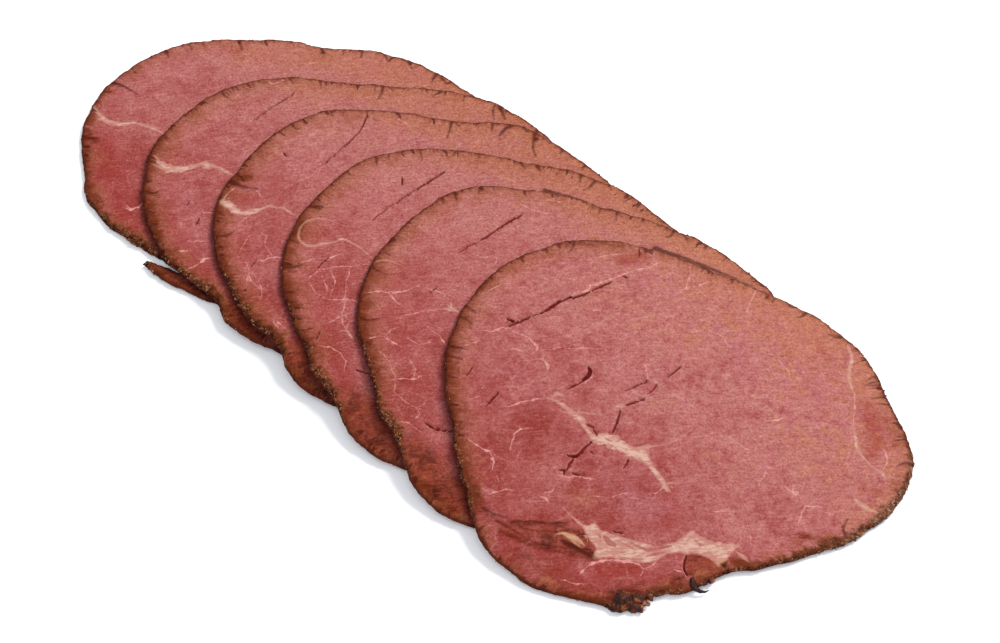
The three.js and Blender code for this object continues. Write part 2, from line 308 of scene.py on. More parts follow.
            (0.35, (617, 212), (622, 217)), (0.45, (642, 217), (643, 222)), (0.6, (656, 222), (659, 227)),
            (0.5, (674, 231), (670, 236), (666, 237)), (0.45, (685, 236), (688, 242)),
            (0.5, (706, 245), (704, 250)), (0.5, (727, 257), (723, 261)), (0.45, (745, 269), (741, 272)),
            # painted shadow in the gap under the top rim of slice 6
            (0.9, (655, 249), (668, 253), (684, 258), (697, 263), (712, 269)),
            (0.6, (697, 263), (712, 269), (734, 278), (756, 288)),
        ],
    },
    "slice_4": {
        "fat": [
            [(310, 220, 0.3), (303, 224, 0.4), (299, 231, 0.5), (299, 239, 0.4), (305, 245, 0.5),
             (313, 246, 0.6), (322, 244, 0.55), (334, 242, 0.4), (343, 239, 0.5), (352, 243, 0.4),
             (361, 248, 0.4), (371, 257, 0.25)],
            [(310, 220, 0.35), (322, 218, 0.25), (334, 222, 0.16), (348, 227, 0.12), (362, 226, 0.08)],
            [(341, 331, 0.25), (347, 331, 0.5), (352, 338, 0.3)],
        ],
        "thread": [
            (0.17, (309, 278), (320, 270), (335, 267), (352, 266), (368, 264)),
            (0.2, (310, 284), (316, 294), (330, 300), (345, 299), (357, 302)),
            (0.14, (330, 266), (335, 282), (330, 300)), (0.14, (350, 266), (346, 282), (345, 299)),
            (0.14, (440, 175), (452, 173), (468, 176)), (0.15, (330, 322), (338, 318), (352, 313)),
            (0.14, (345, 330), (350, 322), (358, 318)), (0.14, (318, 346), (330, 347), (340, 352)),
            (0.12, (500, 176), (515, 182), (530, 178)), (0.14, (352, 285), (362, 281), (370, 283)),
            (0.16, (345, 330), (342, 318), (345, 300)),
            (0.14, (302, 262), (316, 258), (330, 258), (344, 252)),
            (0.13, (322, 276), (328, 290), (322, 300)), (0.13, (340, 352), (346, 362), (344, 372)),
        ],
        "crack": [
            (0.16, (372, 220), (380, 213), (390, 206)), (0.2, (390, 206), (402, 198), (414, 190)),
            (0.3, (415, 190), (428, 182), (444, 172)), (0.24, (402, 178), (402, 184)),
            (0.26, (357, 370), (368, 373)), (0.16, (318, 268), (323, 262), (328, 258)),
            (0.14, (316, 340), (320, 332)),
        ],
        "streak": [
            (0.5, (282, 268), (293, 267), (304, 264)), (0.9, (304, 208), (311, 206), (320, 209)),
            (0.5, (344, 170), (350, 175)), (0.55, (376, 156), (377, 167)), (0.4, (389, 153), (389, 160)),
            (0.45, (419, 148), (422, 160)), (0.4, (284, 292), (296, 293)), (0.35, (456, 151), (453, 156)),
            (0.45, (480, 153), (479, 158)), (0.5, (521, 163), (525, 169)), (0.6, (537, 166), (541, 172)),
            (0.5, (581, 175), (580, 182)), (0.65, (598, 180), (591, 186), (584, 190)),
            (0.45, (606, 182), (611, 189)), (0.6, (627, 196), (624, 199)), (0.6, (639, 204), (637, 208)),
            (0.5, (284, 240), (298, 243)), (0.4, (286, 305), (296, 308)),
            # painted shadow in the gap under the top rim of slice 5
            (0.7, (545, 190), (556, 193), (570, 197), (586, 202)),
        ],
    },
    "slice_3": {
        "fat": [
            [(222, 202, 1.2), (230, 206, 1.5), (236, 211, 1.2), (243, 213, 0.8), (250, 212, 1.1),
             (258, 210, 0.85), (265, 208, 0.5), (270, 206, 0.6), (277, 208, 0.35), (283, 208, 0.5),
             (290, 212, 0.3), (298, 217, 0.2)],
            [(271, 206, 0.35), (271, 203, 0.12)], [(283, 208, 0.3), (286, 203, 0.18), (295, 199, 0.08)],
            [(223, 200, 0.5), (228, 193, 0.3), (235, 188, 0.15)],
        ],
        "meat": [[(222, 206, 0.1), (228, 208, 0.25)]],
        "thread": [
            (0.3, (260, 261), (271, 258), (284, 258)), (0.15, (265, 246), (270, 253), (273, 258)),
            (0.14, (262, 233), (267, 235), (265, 243)), (0.14, (249, 236), (243, 246), (240, 252)),
            (0.16, (253, 272), (258, 280), (262, 290), (260, 300)),
            (0.14, (248, 268), (252, 282), (262, 290), (268, 284)),
            (0.16, (235, 188), (243, 188), (255, 190), (260, 195)),
            (0.13, (268, 316), (276, 320), (284, 328)), (0.15, (276, 316), (274, 322), (278, 327)),
            (0.12, (395, 118), (408, 124), (420, 122)), (0.13, (240, 222), (246, 218), (252, 214)),
            (0.13, (246, 262), (250, 272), (246, 284)), (0.12, (300, 180), (312, 176), (318, 168)),
        ],
        "crack": [
            (0.14, (322, 165), (330, 158), (340, 150)), (0.2, (340, 149), (349, 142), (357, 134)),
            (0.18, (358, 133), (363, 125), (367, 115)), (0.24, (284, 153), (286, 155)),
            (0.14, (252, 266), (256, 260)),
        ],
        "streak": [
            (0.55, (211, 240), (225, 236), (234, 231)), (0.9, (230, 181), (243, 187), (258, 189)),
            (0.6, (236, 173), (244, 181)), (0.55, (275, 132), (285, 136)), (0.7, (331, 110), (332, 116)),
            (0.45, (289, 123), (295, 128), (299, 129)), (0.45, (302, 118), (305, 124)),
            (0.4, (214, 257), (224, 259)), (0.45, (366, 109), (368, 118)), (0.6, (398, 113), (401, 119)),
            (0.5, (434, 118), (434, 124)), (0.5, (452, 121), (450, 129), (447, 138)),
            (0.45, (453, 121), (459, 126)), (0.4, (477, 121), (476, 126)), (0.65, (493, 122), (492, 131)),
            (0.8, (511, 125), (503, 131), (499, 137)), (0.45, (520, 126), (528, 132)),
            (0.5, (535, 134), (533, 147), (536, 157)), (0.6, (562, 149), (560, 154)),
            (0.5, (585, 165), (582, 170)), (0.4, (217, 211), (225, 216)),
        ],
    },
    "slice_2": {
        "fat": [
            [(158, 162, 0.7), (165, 167, 1.6), (173, 169, 1.6), (182, 169, 1), (190, 167, 0.9),
             (199, 165, 0.7), (206, 166, 1.2), (215, 167, 0.8), (223, 170, 0.7), (231, 174, 0.5)],
            [(196, 166, 0.6), (205, 162, 0.35), (213, 160, 0.1)],
            [(153, 164, 0.3), (161, 168, 0.5), (169, 172, 0.3)],
            [(151, 157, 0.2), (155, 156, 0.35), (159, 161, 0.5)],
        ],
        "meat": [[(199, 165, 0.1), (206, 167, 0.2)], [(210, 168, 0.1), (220, 169, 0.18)]],
        "thread": [
            (0.26, (190, 268), (198, 265), (205, 259), (213, 257)),
            (0.24, (201, 207), (203, 212), (211, 213)), (0.14, (186, 241), (196, 241), (208, 241)),
            (0.25, (181, 251), (186, 251)), (0.13, (258, 78), (272, 84), (284, 80)),
        ],
        "crack": [
            (0.24, (291, 96), (294, 92)), (0.15, (254, 120), (262, 114), (272, 107)),
            (0.17, (274, 106), (282, 101), (290, 96)), (0.2, (196, 224), (199, 219)),
            (0.15, (187, 205), (189, 201)),
        ],
        "streak": [
            (0.5, (142, 192), (153, 193), (162, 189)), (0.5, (147, 160), (158, 165)),
            (0.4, (145, 211), (155, 213)), (0.5, (160, 136), (168, 138)),
            (0.6, (220, 91), (224, 95), (228, 97)), (0.55, (245, 83), (250, 88)),
            (0.45, (231, 87), (234, 92)), (0.55, (192, 106), (197, 110)), (0.45, (182, 114), (187, 117)),
            (0.4, (290, 79), (293, 83)), (0.4, (320, 81), (321, 87)), (0.6, (383, 86), (382, 92), (378, 99)),
            (0.5, (384, 86), (389, 87), (393, 91)), (0.35, (411, 87), (408, 90)),
            (0.7, (426, 88), (427, 92)), (0.55, (441, 91), (437, 94), (432, 96)),
            (0.6, (467, 93), (463, 101)), (0.5, (476, 95), (479, 100)), (0.8, (500, 107), (505, 119)),
            (0.45, (495, 103), (493, 112), (494, 120)), (0.6, (537, 131), (534, 136)),
        ],
    },
    "slice_1": {
        "fat": [
            [(94, 106, 0.4), (98, 113, 0.7), (104, 119, 0.7), (114, 123, 1), (124, 124, 0.8),
             (134, 123, 0.5), (142, 125, 0.7), (152, 128, 0.5), (162, 133, 0.35)],
            [(95, 118, 0.15), (104, 121, 0.5), (112, 126, 0.2)],
            [(140, 122, 0.1), (150, 125, 0.25), (158, 128, 0.15)],
        ],
        "meat": [[(122, 124, 0.05), (138, 125, 0.15)]],
        "thread": [(0.24, (124, 208), (131, 209), (138, 207), (143, 203)), (0.16, (125, 204), (131, 209))],
        "streak": [
            (0.8, (81, 138), (89, 138), (98, 139)), (0.6, (86, 186), (90, 187)), (0.5, (82, 160), (88, 161)),
            (0.6, (101, 93), (115, 92)), (0.7, (112, 82), (123, 86), (137, 94)),
            (0.75, (165, 49), (169, 57)), (0.45, (188, 43), (192, 50)), (0.35, (202, 41), (204, 46)),
            (0.8, (239, 39), (242, 50)), (0.5, (258, 39), (262, 44)), (0.45, (290, 41), (294, 46)),
            (0.6, (322, 49), (324, 54)), (0.45, (345, 49), (343, 55)), (0.5, (362, 52), (361, 58)),
            (0.45, (385, 55), (388, 61)), (0.6, (408, 61), (412, 68)), (0.7, (436, 74), (431, 83)),
            (0.5, (441, 78), (447, 84)), (0.4, (130, 68), (136, 73)),
        ],
    },
}

# Stains on a face, and mauve patches that are partly painted sheen: how far each reaches or how soft its
# edge is in mm, how strong it is, and the pixels that it runs along, or round where it ends where it starts
stainsAndSheen = {
    "slice_6": {
        "brown": [
            (1.2, 0.55, (512, 522), (540, 523), (566, 524)),
            (1, 0.6, (500, 531), (530, 544), (560, 551), (592, 560)),
            (1.2, 0.85, (566, 543), (584, 552), (594, 558)),
            (0.9, 0.5, (552, 533), (566, 530), (577, 531), (586, 538), (588, 546)),
            (0.8, 0.45, (558, 537), (568, 543), (580, 548)), (1.2, 0.6, (700, 583), (712, 578), (721, 571)),
            (1, 0.6, (672, 582), (682, 578), (688, 574)), (2.4, 0.9, (612, 600), (630, 594), (645, 598)),
            (1.8, 0.7, (650, 592), (668, 590), (688, 584)), (3, 0.6, (464, 470), (470, 490), (482, 506)),
            (1.6, 0.7, (560, 592), (580, 596), (600, 600)), (1, 0.7, (733, 563), (745, 565), (757, 563)),
            (1.6, 0.7, (478, 290), (486, 281)), (2.2, 0.45, (560, 244), (590, 243), (620, 246)),
            (1.5, 0.6, (800, 536), (815, 538), (832, 541)), (1.4, 0.8, (734, 560), (748, 563)),
            (1.6, 0.5, (450, 348), (458, 350)),
        ],
        "red": [
            (0.5, 1, (594, 567), (602, 563), (613, 561.5), (628, 562.5), (639, 566), (641, 570), (636, 575),
             (622, 577), (608, 577), (596, 573), (594, 567)),
            (5, 0.5, (560, 578), (600, 586), (660, 578)), (3, 0.5, (728, 556), (736, 558)),
            (2.6, 0.9, (622, 261), (640, 256)), (6, 0.35, (480, 420), (490, 470)),
            (4.5, 0.75, (868, 408), (878, 440), (872, 452)), (2.5, 0.7, (884, 420), (896, 444)),
            (2, 0.6, (862, 488), (878, 492)), (3, 0.5, (668, 520), (690, 516)),
            (2.2, 0.5, (846, 480), (866, 486)), (2, 0.5, (820, 347), (828, 358)),
        ],
        "tan": [
            (9, 0.7, (700, 290), (760, 320), (800, 345)), (1.8, 0.9, (562, 534), (584, 546)),
            (8, 0.45, (590, 290), (640, 310), (700, 350)), (5, 0.6, (474, 280), (490, 268), (520, 258)),
            (3, 0.8, (845, 525), (870, 512), (888, 494), (898, 478)),
            (6, 0.6, (800, 440), (815, 460), (830, 478)), (5, 0.5, (830, 490), (850, 510)),
            (4, 0.6, (570, 497), (588, 500)), (7, 0.4, (730, 470), (760, 440)),
            (3, 0.5, (845, 395), (846, 370)), (2.6, 0.8, (838, 434), (842, 462)),
            (2.6, 0.7, (812, 440), (806, 474)), (2.2, 0.7, (864, 362), (876, 384), (884, 404)),
            (2, 0.6, (888, 470), (896, 462)), (2.4, 0.6, (788, 396), (800, 392)),
            (2.2, 0.6, (700, 452), (716, 456)),
        ],
        "lobe": [
            (5, 0.4, (520, 556), (560, 580)), (4, 0.5, (580, 594), (620, 592), (670, 584)),
            (2.2, 0.6, (484, 510), (498, 516), (512, 522), (540, 523), (566, 524), (586, 533), (594, 559),
             (566, 551), (530, 545), (502, 532), (486, 518), (484, 510)),
            (0.8, 1, (687, 556), (695, 555), (704, 557), (713, 561), (720, 567), (723, 571), (714, 577),
             (704, 583), (697, 583), (690, 576), (686, 568), (685, 561), (687, 556)),
            (2.5, 0.6, (660, 584), (676, 580)),
        ],
        # mauve patches, partly the meat's own tone and partly painted sheen, strongest round pixel (630,
        # 500)
        "mauveAndSheen": [
            (8, 0.6, (620, 370), (640, 380)), (9, 0.5, (650, 500), (640, 470), (610, 480)),
            (6, 0.7, (735, 353), (755, 368)), (6, 0.5, (740, 410), (760, 470)),
            (6, 0.5, (470, 330), (540, 400)), (4, 0.6, (822, 385), (824, 396)),
            (1.6, 0.8, (816, 362), (822, 384), (820, 402)), (1.8, 0.7, (800, 452), (822, 462), (848, 472)),
            (2.4, 0.7, (560, 494), (566, 500)), (5, 0.9, (628, 498), (650, 508)),
            (2.5, 0.6, (786, 380), (792, 402)),
        ],
    },
    "slice_5": {
        "brown": [(2, 0.6, (400, 466), (425, 488), (455, 512)), (1.8, 0.4, (364, 330), (372, 350))],
        "red": [
            (3.5, 0.6, (385, 276), (402, 279)), (6, 0.4, (400, 330), (420, 390)),
            (2.5, 0.9, (444, 498), (458, 508)),
        ],
        "tan": [(6, 0.8, (560, 200), (640, 232), (720, 268)), (4, 0.4, (400, 240), (440, 215))],
        "lobe": [(7, 1, (412, 458), (436, 484), (464, 510))],
        "mauveAndSheen": [(7, 0.4, (430, 300), (430, 350)), (8, 0.4, (440, 230), (500, 205))],
    },
    "slice_4": {
        "brown": [
            (1.4, 0.4, (336, 408), (358, 432), (385, 455)), (1.8, 0.6, (292, 236), (302, 222)),
            (1.8, 0.4, (288, 290), (300, 310)),
        ],
        "red": [(2.6, 1, (306, 234), (322, 233)), (6, 0.5, (330, 285), (320, 340), (345, 385))],
        "tan": [(6, 0.8, (460, 157), (560, 182), (640, 215)), (4, 0.4, (330, 200), (360, 175))],
        "lobe": [(7, 1, (350, 410), (366, 428), (390, 452))],
        "mauveAndSheen": [(7, 0.4, (350, 300), (345, 330)), (8, 0.4, (370, 200), (440, 170))],
    },
    "slice_3": {
        "brown": [
            (2, 0.6, (278, 350), (300, 376), (325, 398)), (2.2, 0.6, (234, 180), (250, 176)),
            (1.8, 0.4, (216, 258), (228, 280)),
        ],
        "red": [(3, 0.7, (236, 198), (254, 199)), (6, 0.4, (255, 300), (275, 335))],
        "tan": [(5, 0.8, (400, 120), (480, 138), (550, 165)), (4, 0.4, (255, 160), (290, 142))],
        "lobe": [(6.5, 1, (294, 358), (308, 374), (328, 392))],
        "mauveAndSheen": [(7, 0.4, (270, 250), (270, 280)), (8, 0.4, (300, 170), (370, 130))],
    },
    "slice_2": {
        "brown": [
            (2, 0.6, (215, 298), (238, 322), (262, 345)), (1.8, 0.5, (152, 150), (164, 138)),
            (1.8, 0.4, (148, 205), (160, 235)),
        ],
        "red": [(6, 0.5, (165, 225), (190, 262), (210, 285)), (3.5, 0.45, (236, 108), (270, 96))],
        "tan": [(5, 0.8, (290, 86), (400, 100), (480, 118)), (4, 0.4, (190, 125), (230, 100))],
        "lobe": [(6, 1, (230, 310), (246, 326), (266, 342))],
        "mauveAndSheen": [(7, 0.6, (190, 200), (200, 250)), (8, 0.4, (230, 120), (290, 96))],
    },
    "slice_1": {
        "brown": [
            (2.4, 0.7, (128, 232), (142, 246)), (2, 0.6, (88, 132), (94, 140)),
            (2.2, 0.5, (150, 264), (180, 282), (210, 296)),
        ],
        "red": [
            (8, 0.7, (100, 145), (112, 175), (128, 205)), (6, 0.4, (130, 215), (150, 235)),
            (4, 0.45, (150, 62), (200, 52), (240, 48)),
        ],
        "tan": [(5, 0.9, (240, 50), (330, 62), (420, 82), (460, 100))],
        "lobe": [(2.2, 1, (148, 266), (178, 284), (212, 299))],
        "mauveAndSheen": [(7, 0.4, (150, 90), (200, 60))],
    },
}


# A point of the table's frame in a slice's own mm, from its middle and turned back
def ownPoint(piece, x, y):
    turned = math.radians(-piece["turned"])
    dx, dy = x - piece["middle"][0], y - piece["middle"][1]
    return dx * math.cos(turned) - dy * math.sin(turned), dx * math.sin(turned) + dy * math.cos(turned)


def castOn(piece, tree, pixel):
    start, way = sight(*pixel)
    spot = tree.ray_cast(start, way)[0]
    if spot is None:  # just past the rim: the level of the nearest face
        level = tree.find_nearest(start + way * (-start.z / way.z))[0].z
        spot = start + way * ((level - start.z) / way.z)
    return ownPoint(piece, spot.x / mm, spot.y / mm)


def nodeShape(piece):
    shape = bmesh.new()
    shape.from_mesh(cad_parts[piece["node"]].data)
    return shape


def nodeTree(piece):
    shape = nodeShape(piece)
    tree = BVHTree.FromBMesh(shape)
    shape.free()
    return tree


def taper(points, width):
    n = len(points)
    return [width * (0.35 + 0.65 * math.sin(math.pi * (i + 0.5) / n)) for i in range(n)]


def wedge(points, width):
    return [width * (1 - 0.8 * i / (len(points) - 1)) for i in range(len(points))]


# A smooth curve through a line's points, with their widths
def smoothLine(points, widths, steps=3):
    rows = np.column_stack([points, widths])
    closed = points[0] == points[-1]
    before, after = (rows[-2], rows[1]) if closed else (2 * rows[0] - rows[1], 2 * rows[-1] - rows[-2])
    ends = np.vstack([before, rows, after])
    made = []
    for a, b, c, d in zip(ends, ends[1:], ends[2:], ends[3:]):
        for t in np.arange(steps) / steps:
            made.append(b + 0.5 * t * (c - a + t * (2 * a - 5 * b + 4 * c - d + t * (3 * (b - c) + d - a))))
    made.append(rows[-1])
    return [tuple(row[:2]) for row in made], [max(row[2], 0.04) for row in made]


def isOutline(pixels):
    return pixels[0] == pixels[-1]


def castOutline(piece, tree, pixels):
    spots = [castOn(piece, tree, p) for p in pixels]
    return smoothLine(spots, [0.05] * len(spots))


def castMarks(piece):
    tree, drawn = nodeTree(piece), marks[piece["node"]]
    patches = [castOutline(piece, tree, pixels) for pixels in drawn.get("patch", ())]
    lines = {"patch": patches, "stainEdge": []}
    for kind in ("fat", "meat", "thread", "crack", "streak"):
        lines[kind] = []
        for line in drawn.get(kind, ()):
            if kind in ("fat", "meat"):
                spots = [castOn(piece, tree, (x, y)) for x, y, _ in line]
                widths = [half for _, _, half in line]
            else:
                spots = [castOn(piece, tree, pixel) for pixel in line[1:]]
                widths = (wedge if kind == "streak" else taper)(spots, line[0])
            curved = kind in ("fat", "crack", "streak") and len(spots) > 2
            lines[kind].append(smoothLine(spots, widths) if curved else (spots, widths))
    for drawn in stainsAndSheen[piece["node"]].values():
        for _, _, *pixels in drawn:
            if isOutline(pixels):
                lines["stainEdge"].append(castOutline(piece, tree, pixels))
    return lines


def coordinates(mesh, field="co"):
    flat = np.empty(len(mesh.vertices) * 3)
    mesh.vertices.foreach_get(field, flat)
    return flat.reshape(-1, 3)


def segmentsOf(lines):
    rows = []
    for points, widths in lines:
        for i in range(len(points) - 1):
            rows.append((*points[i], *points[i + 1], widths[i], widths[i + 1]))
    return rows


# How far each point is from the nearest line, with a sign for its side and without, and its half width there
def nearestLine(lines, x, y, margin=4):
    best = np.full(len(x), 1e9)
    signed, plain, width = np.full(len(x), farAway), np.full(len(x), farAway), np.full(len(x), 0.1)
    for ax, ay, bx, by, wa, wb in segmentsOf(lines):
        besideX = (x > min(ax, bx) - margin) & (x < max(ax, bx) + margin)
        besideY = (y > min(ay, by) - margin) & (y < max(ay, by) + margin)
        near = np.flatnonzero(besideX & besideY)
        px, py, dx, dy = x[near] - ax, y[near] - ay, bx - ax, by - ay
        t = np.clip((px * dx + py * dy) / (dx * dx + dy * dy), 0, 1)
        away = np.hypot(px - t * dx, py - t * dy)
        half = wa + (wb - wa) * t
        closer = away - half < best[near]
        near, away, half, side = near[closer], away[closer], half[closer], (px * dy - py * dx)[closer]
        best[near], plain[near], width[near] = away - half, away, half
        signed[near] = away * np.where(side > 0, 1.0, -1.0)
    return signed, plain, width


# How deep each point lies inside any of these outlines, and below 0 outside them
def depthInside(rings, x, y):
    deepest = np.full(len(x), -farAway)
    for points, widths in rings:
        inside = np.zeros(len(x), bool)
        for (ax, ay), (bx, by) in zip(points, points[1:]):
            if ay != by:
                inside ^= ((ay > y) != (by > y)) & (x < ax + (bx - ax) * (y - ay) / (by - ay))
        away = nearestLine([(points, widths)], x, y)[1]
        deepest = np.maximum(deepest, np.where(inside, away, -away))
    return deepest


def bearingOf(x, y):
    return np.degrees(np.arctan2(y, x)) % 360


# A slice's outline: how far its rim is from its middle, by bearing
def outlineOf(piece):
    points = coordinates(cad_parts[piece["node"]].data) / mm
    x, y = ownPoint(piece, points[:, 0], points[:, 1])
    bearing, reach = bearingOf(x, y), np.hypot(x, y)
    steps = np.arange(0, 360, 4)
    rim = [reach[np.abs((bearing - step + 180) % 360 - 180) < 3].max() for step in steps]
    return lambda b: np.interp(b % 360, np.append(steps, 360), np.append(rim, rim[0]))


def insetFromOutline(piece, x, y):
    return outlines[piece["node"]](bearingOf(x, y)) - np.hypot(x, y)


# The top slice's marks run through the slices below it too, where the next slice hides them
def hiddenMarks(piece, above, topMarks):
    rimAbove = outlines[above["node"]]

    def covered(point):
        turned = math.radians(piece["turned"])
        x = point[0] * math.cos(turned) - point[1] * math.sin(turned) + piece["middle"][0]
        y = point[0] * math.sin(turned) + point[1] * math.cos(turned) + piece["middle"][1]
        ox, oy = ownPoint(above, x, y)
        return math.hypot(ox, oy) < 0.97 * rimAbove(math.degrees(math.atan2(oy, ox)))

    kept = {}
    for kind, lines in topMarks.items():
        if kind == "stainEdge":
            continue
        moved = [([(0.95 * x, 0.95 * y) for x, y in points], widths) for points, widths in lines]
        kept[kind] = [(points, widths) for points, widths in moved if all(covered(p) for p in points)]
    return kept


castLines = {piece["node"]: castMarks(piece) for piece in slices}
outlines = {piece["node"]: outlineOf(piece) for piece in slices}
for piece, above in zip(slices[:-1], slices[1:]):
    for kind, lines in hiddenMarks(piece, above, castLines["slice_6"]).items():
        castLines[piece["node"]][kind] += lines
print("seams and cracks placed")

# How the browned rim changes round a slice, by degrees from the slice's own +X
rimLooks = {
    "leftRim": (246, 24),  # the crustier left rim: its middle and how far it reaches each way
    "crust": [(0, 0.9), (12, 0.95), (22, 0.75), (32, 0.42), (60, 0.38), (93, 0.34), (128, 0.25), (157, 0.32),
              (197, 0.35), (215, 0.5), (226, 0.62), (240, 0.66), (250, 0.32), (270, 0.2), (285, 0.3),
              (293, 0.8), (303, 0.7), (312, 0.5), (324, 0.6), (336, 0.5), (346, 0.75), (354, 0.92)],
    "hazeReach": [(0, 5), (22, 5), (47, 6), (93, 8), (128, 7), (157, 9), (197, 10), (225, 9), (240, 6),
                  (250, 3.2), (270, 2), (300, 2.6), (324, 3.5), (345, 5)],  # mm
    "dark": [(0, 0.5), (30, 0.4), (93, 0.35), (128, 0.25), (165, 0.3), (188, 0.65), (204, 1), (238, 1),
             (250, 0.6), (262, 0.25), (282, 0.3), (296, 0.7), (345, 0.5)],
    # how dark the painted shade beside a slice's rim is on the slice below, round that rim
    "shade": [(0, 0.1), (160, 0.1), (178, 0.4), (194, 1), (262, 1), (285, 0.6), (330, 0.1)],
    "grey": [(0, 0.6), (12, 1), (26, 1), (36, 0.3), (50, 0), (335, 0), (350, 0.2)],
    "orange": [(0, 0.4), (22, 0.5), (47, 0.85), (93, 0.9), (128, 0.55), (157, 0.2), (197, 0.05), (235, 0.1),
               (260, 0.4), (292, 0.4), (345, 0.3)],
}


def stainAndSheenStrength(piece, kind, x, y):
    tree = nodeTree(piece)
    total = np.zeros(len(x))
    for reach, strength, *pixels in stainsAndSheen[piece["node"]][kind]:
        if isOutline(pixels):
            share = np.clip(depthInside([castOutline(piece, tree, pixels)], x, y) / reach + 0.5, 0, 1)
        else:
            points = [castOn(piece, tree, p) for p in pixels]
            plain = nearestLine([(points, [0.1] * len(points))], x, y, 3 * reach)[1]
            share = np.exp(-((plain / reach) ** 2))
        total = np.maximum(total, strength * share)
    return total


def roundRim(stops, bearing):
    turns, values = zip(*stops, (360, stops[0][1]))
    return np.interp(bearing % 360, turns, values)


def crustOf(piece, bearing):
    middle, reach = rimLooks["leftRim"]
    left = np.clip(1 - np.abs((bearing % 360) - middle) / reach, 0, 1)
    return np.clip(roundRim(rimLooks["crust"], bearing) + piece["leftCrust"] * left, 0, 1.1)


# The node's own shape, rounded and with a finer mesh at the rim and along the marks
def finerShape(piece, looks):
    shape = nodeShape(piece)
    bmesh.ops.remove_doubles(shape, verts=shape.verts, dist=0.002 * mm)
    bmesh.ops.join_triangles(shape, faces=shape.faces, angle_face_threshold=0.6, angle_shape_threshold=0.9)
    holder = addObject("rough", toMesh(shape, "rough"))
    rounding = holder.modifiers.new("rounding", "SUBSURF")
    rounding.levels = rounding.render_levels = 2
    smooth = bpy.data.meshes.new_from_object(holder.evaluated_get(bpy.context.evaluated_depsgraph_get()))
    bpy.data.objects.remove(holder)
    shape = bmesh.new()
    shape.from_mesh(smooth)
    bmesh.ops.triangulate(shape, faces=shape.faces)
    lines = [line for kind in castLines[piece["node"]].values() for line in kind]
    for _ in range(4):
        shape.verts.index_update()
        shape.normal_update()
        co = np.array([v.co for v in shape.verts]) / mm
        up = np.array([v.normal.z for v in shape.verts])
        x, y = ownPoint(piece, co[:, 0], co[:, 1])
        _, plain, width = nearestLine(lines, x, y)
        target = np.where(up > 0.2, looks["openSpacing"], looks["underSpacing"])
        close = (plain - width < looks["markReach"]) & (plain - width > -1.2)
        target = np.where((up > 0.2) & close, looks["markSpacing"], target)
        atRim = insetFromOutline(piece, x, y) < looks["rimBand"]
        target = np.where(atRim & (up > -0.3), looks["rimSpacing"], target)
        ends = np.array([(e.verts[0].index, e.verts[1].index) for e in shape.edges])
        length = np.linalg.norm(co[ends[:, 0]] - co[ends[:, 1]], axis=1)
        long = length > 1.35 * np.maximum(target[ends[:, 0]], target[ends[:, 1]])
        if not long.any():
            break
        wanted = [edge for edge, tooLong in zip(shape.edges, long) if tooLong]
        bmesh.ops.subdivide_edges(shape, edges=wanted, cuts=1)
        bmesh.ops.triangulate(shape, faces=[f for f in shape.faces if len(f.verts) > 3])
    bmesh.ops.dissolve_degenerate(shape, dist=0.01 * mm, edges=shape.edges)
    bmesh.ops.triangulate(shape, faces=[f for f in shape.faces if len(f.verts) > 3])
    return shape


def addVectors(mesh, name, *columns):
    layer = mesh.attributes.new(name, "FLOAT_VECTOR", "POINT")
    layer.data.foreach_set("vector", np.stack(columns, axis=1).astype(np.float32).ravel())


def unevenness(points, size, seed):
    return np.array([noise.noise(Vector(p) / size + Vector((seed, 3.1 * seed, 0))) for p in points])


# 1 at the rim, fading out over this reach
def nearRim(fromRim, reach):
    return np.exp(-((fromRim / reach) ** 2))


def finishPiece(name, mesh, node, material):
    for polygon in mesh.polygons:
        polygon.use_smooth = True
    mesh.materials.clear()
    mesh.materials.append(material)
    made = addObject(name, mesh)
    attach(made, "root")
    if node:
        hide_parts(node)
    return made


rimTrees = {}


# Keeps the points of a slice's steep skin: the rim, and the crevice's walls
def keepRim(piece, co, normal, reach):
    byOutline = insetFromOutline(piece, *ownPoint(piece, co[:, 0], co[:, 1]))
    steep = np.flatnonzero((np.hypot(normal[:, 0], normal[:, 1]) > 0.85) & (byOutline < reach))
    tree = KDTree(len(steep))
    for i, v in enumerate(steep):
        tree.insert((co[v, 0], co[v, 1], 0), i)
    tree.balance()
    rimTrees[piece["node"]] = tree


def nearestRim(node, co):
    return np.array([rimTrees[node].find((a, b, 0))[2] for a, b in co[:, :2]])


# How far each point lies from the rim of the slice above, and how dark that rim's painted shade is there
def shadeOf(above, co):
    x, y = ownPoint(above, co[:, 0], co[:, 1])
    near = np.flatnonzero(np.abs(insetFromOutline(above, x, y)) < 6)
    gap = np.full(len(x), farAway)
    gap[near] = nearestRim(above["node"], co[near])
    return gap, roundRim(rimLooks["shade"], bearingOf(x, y))


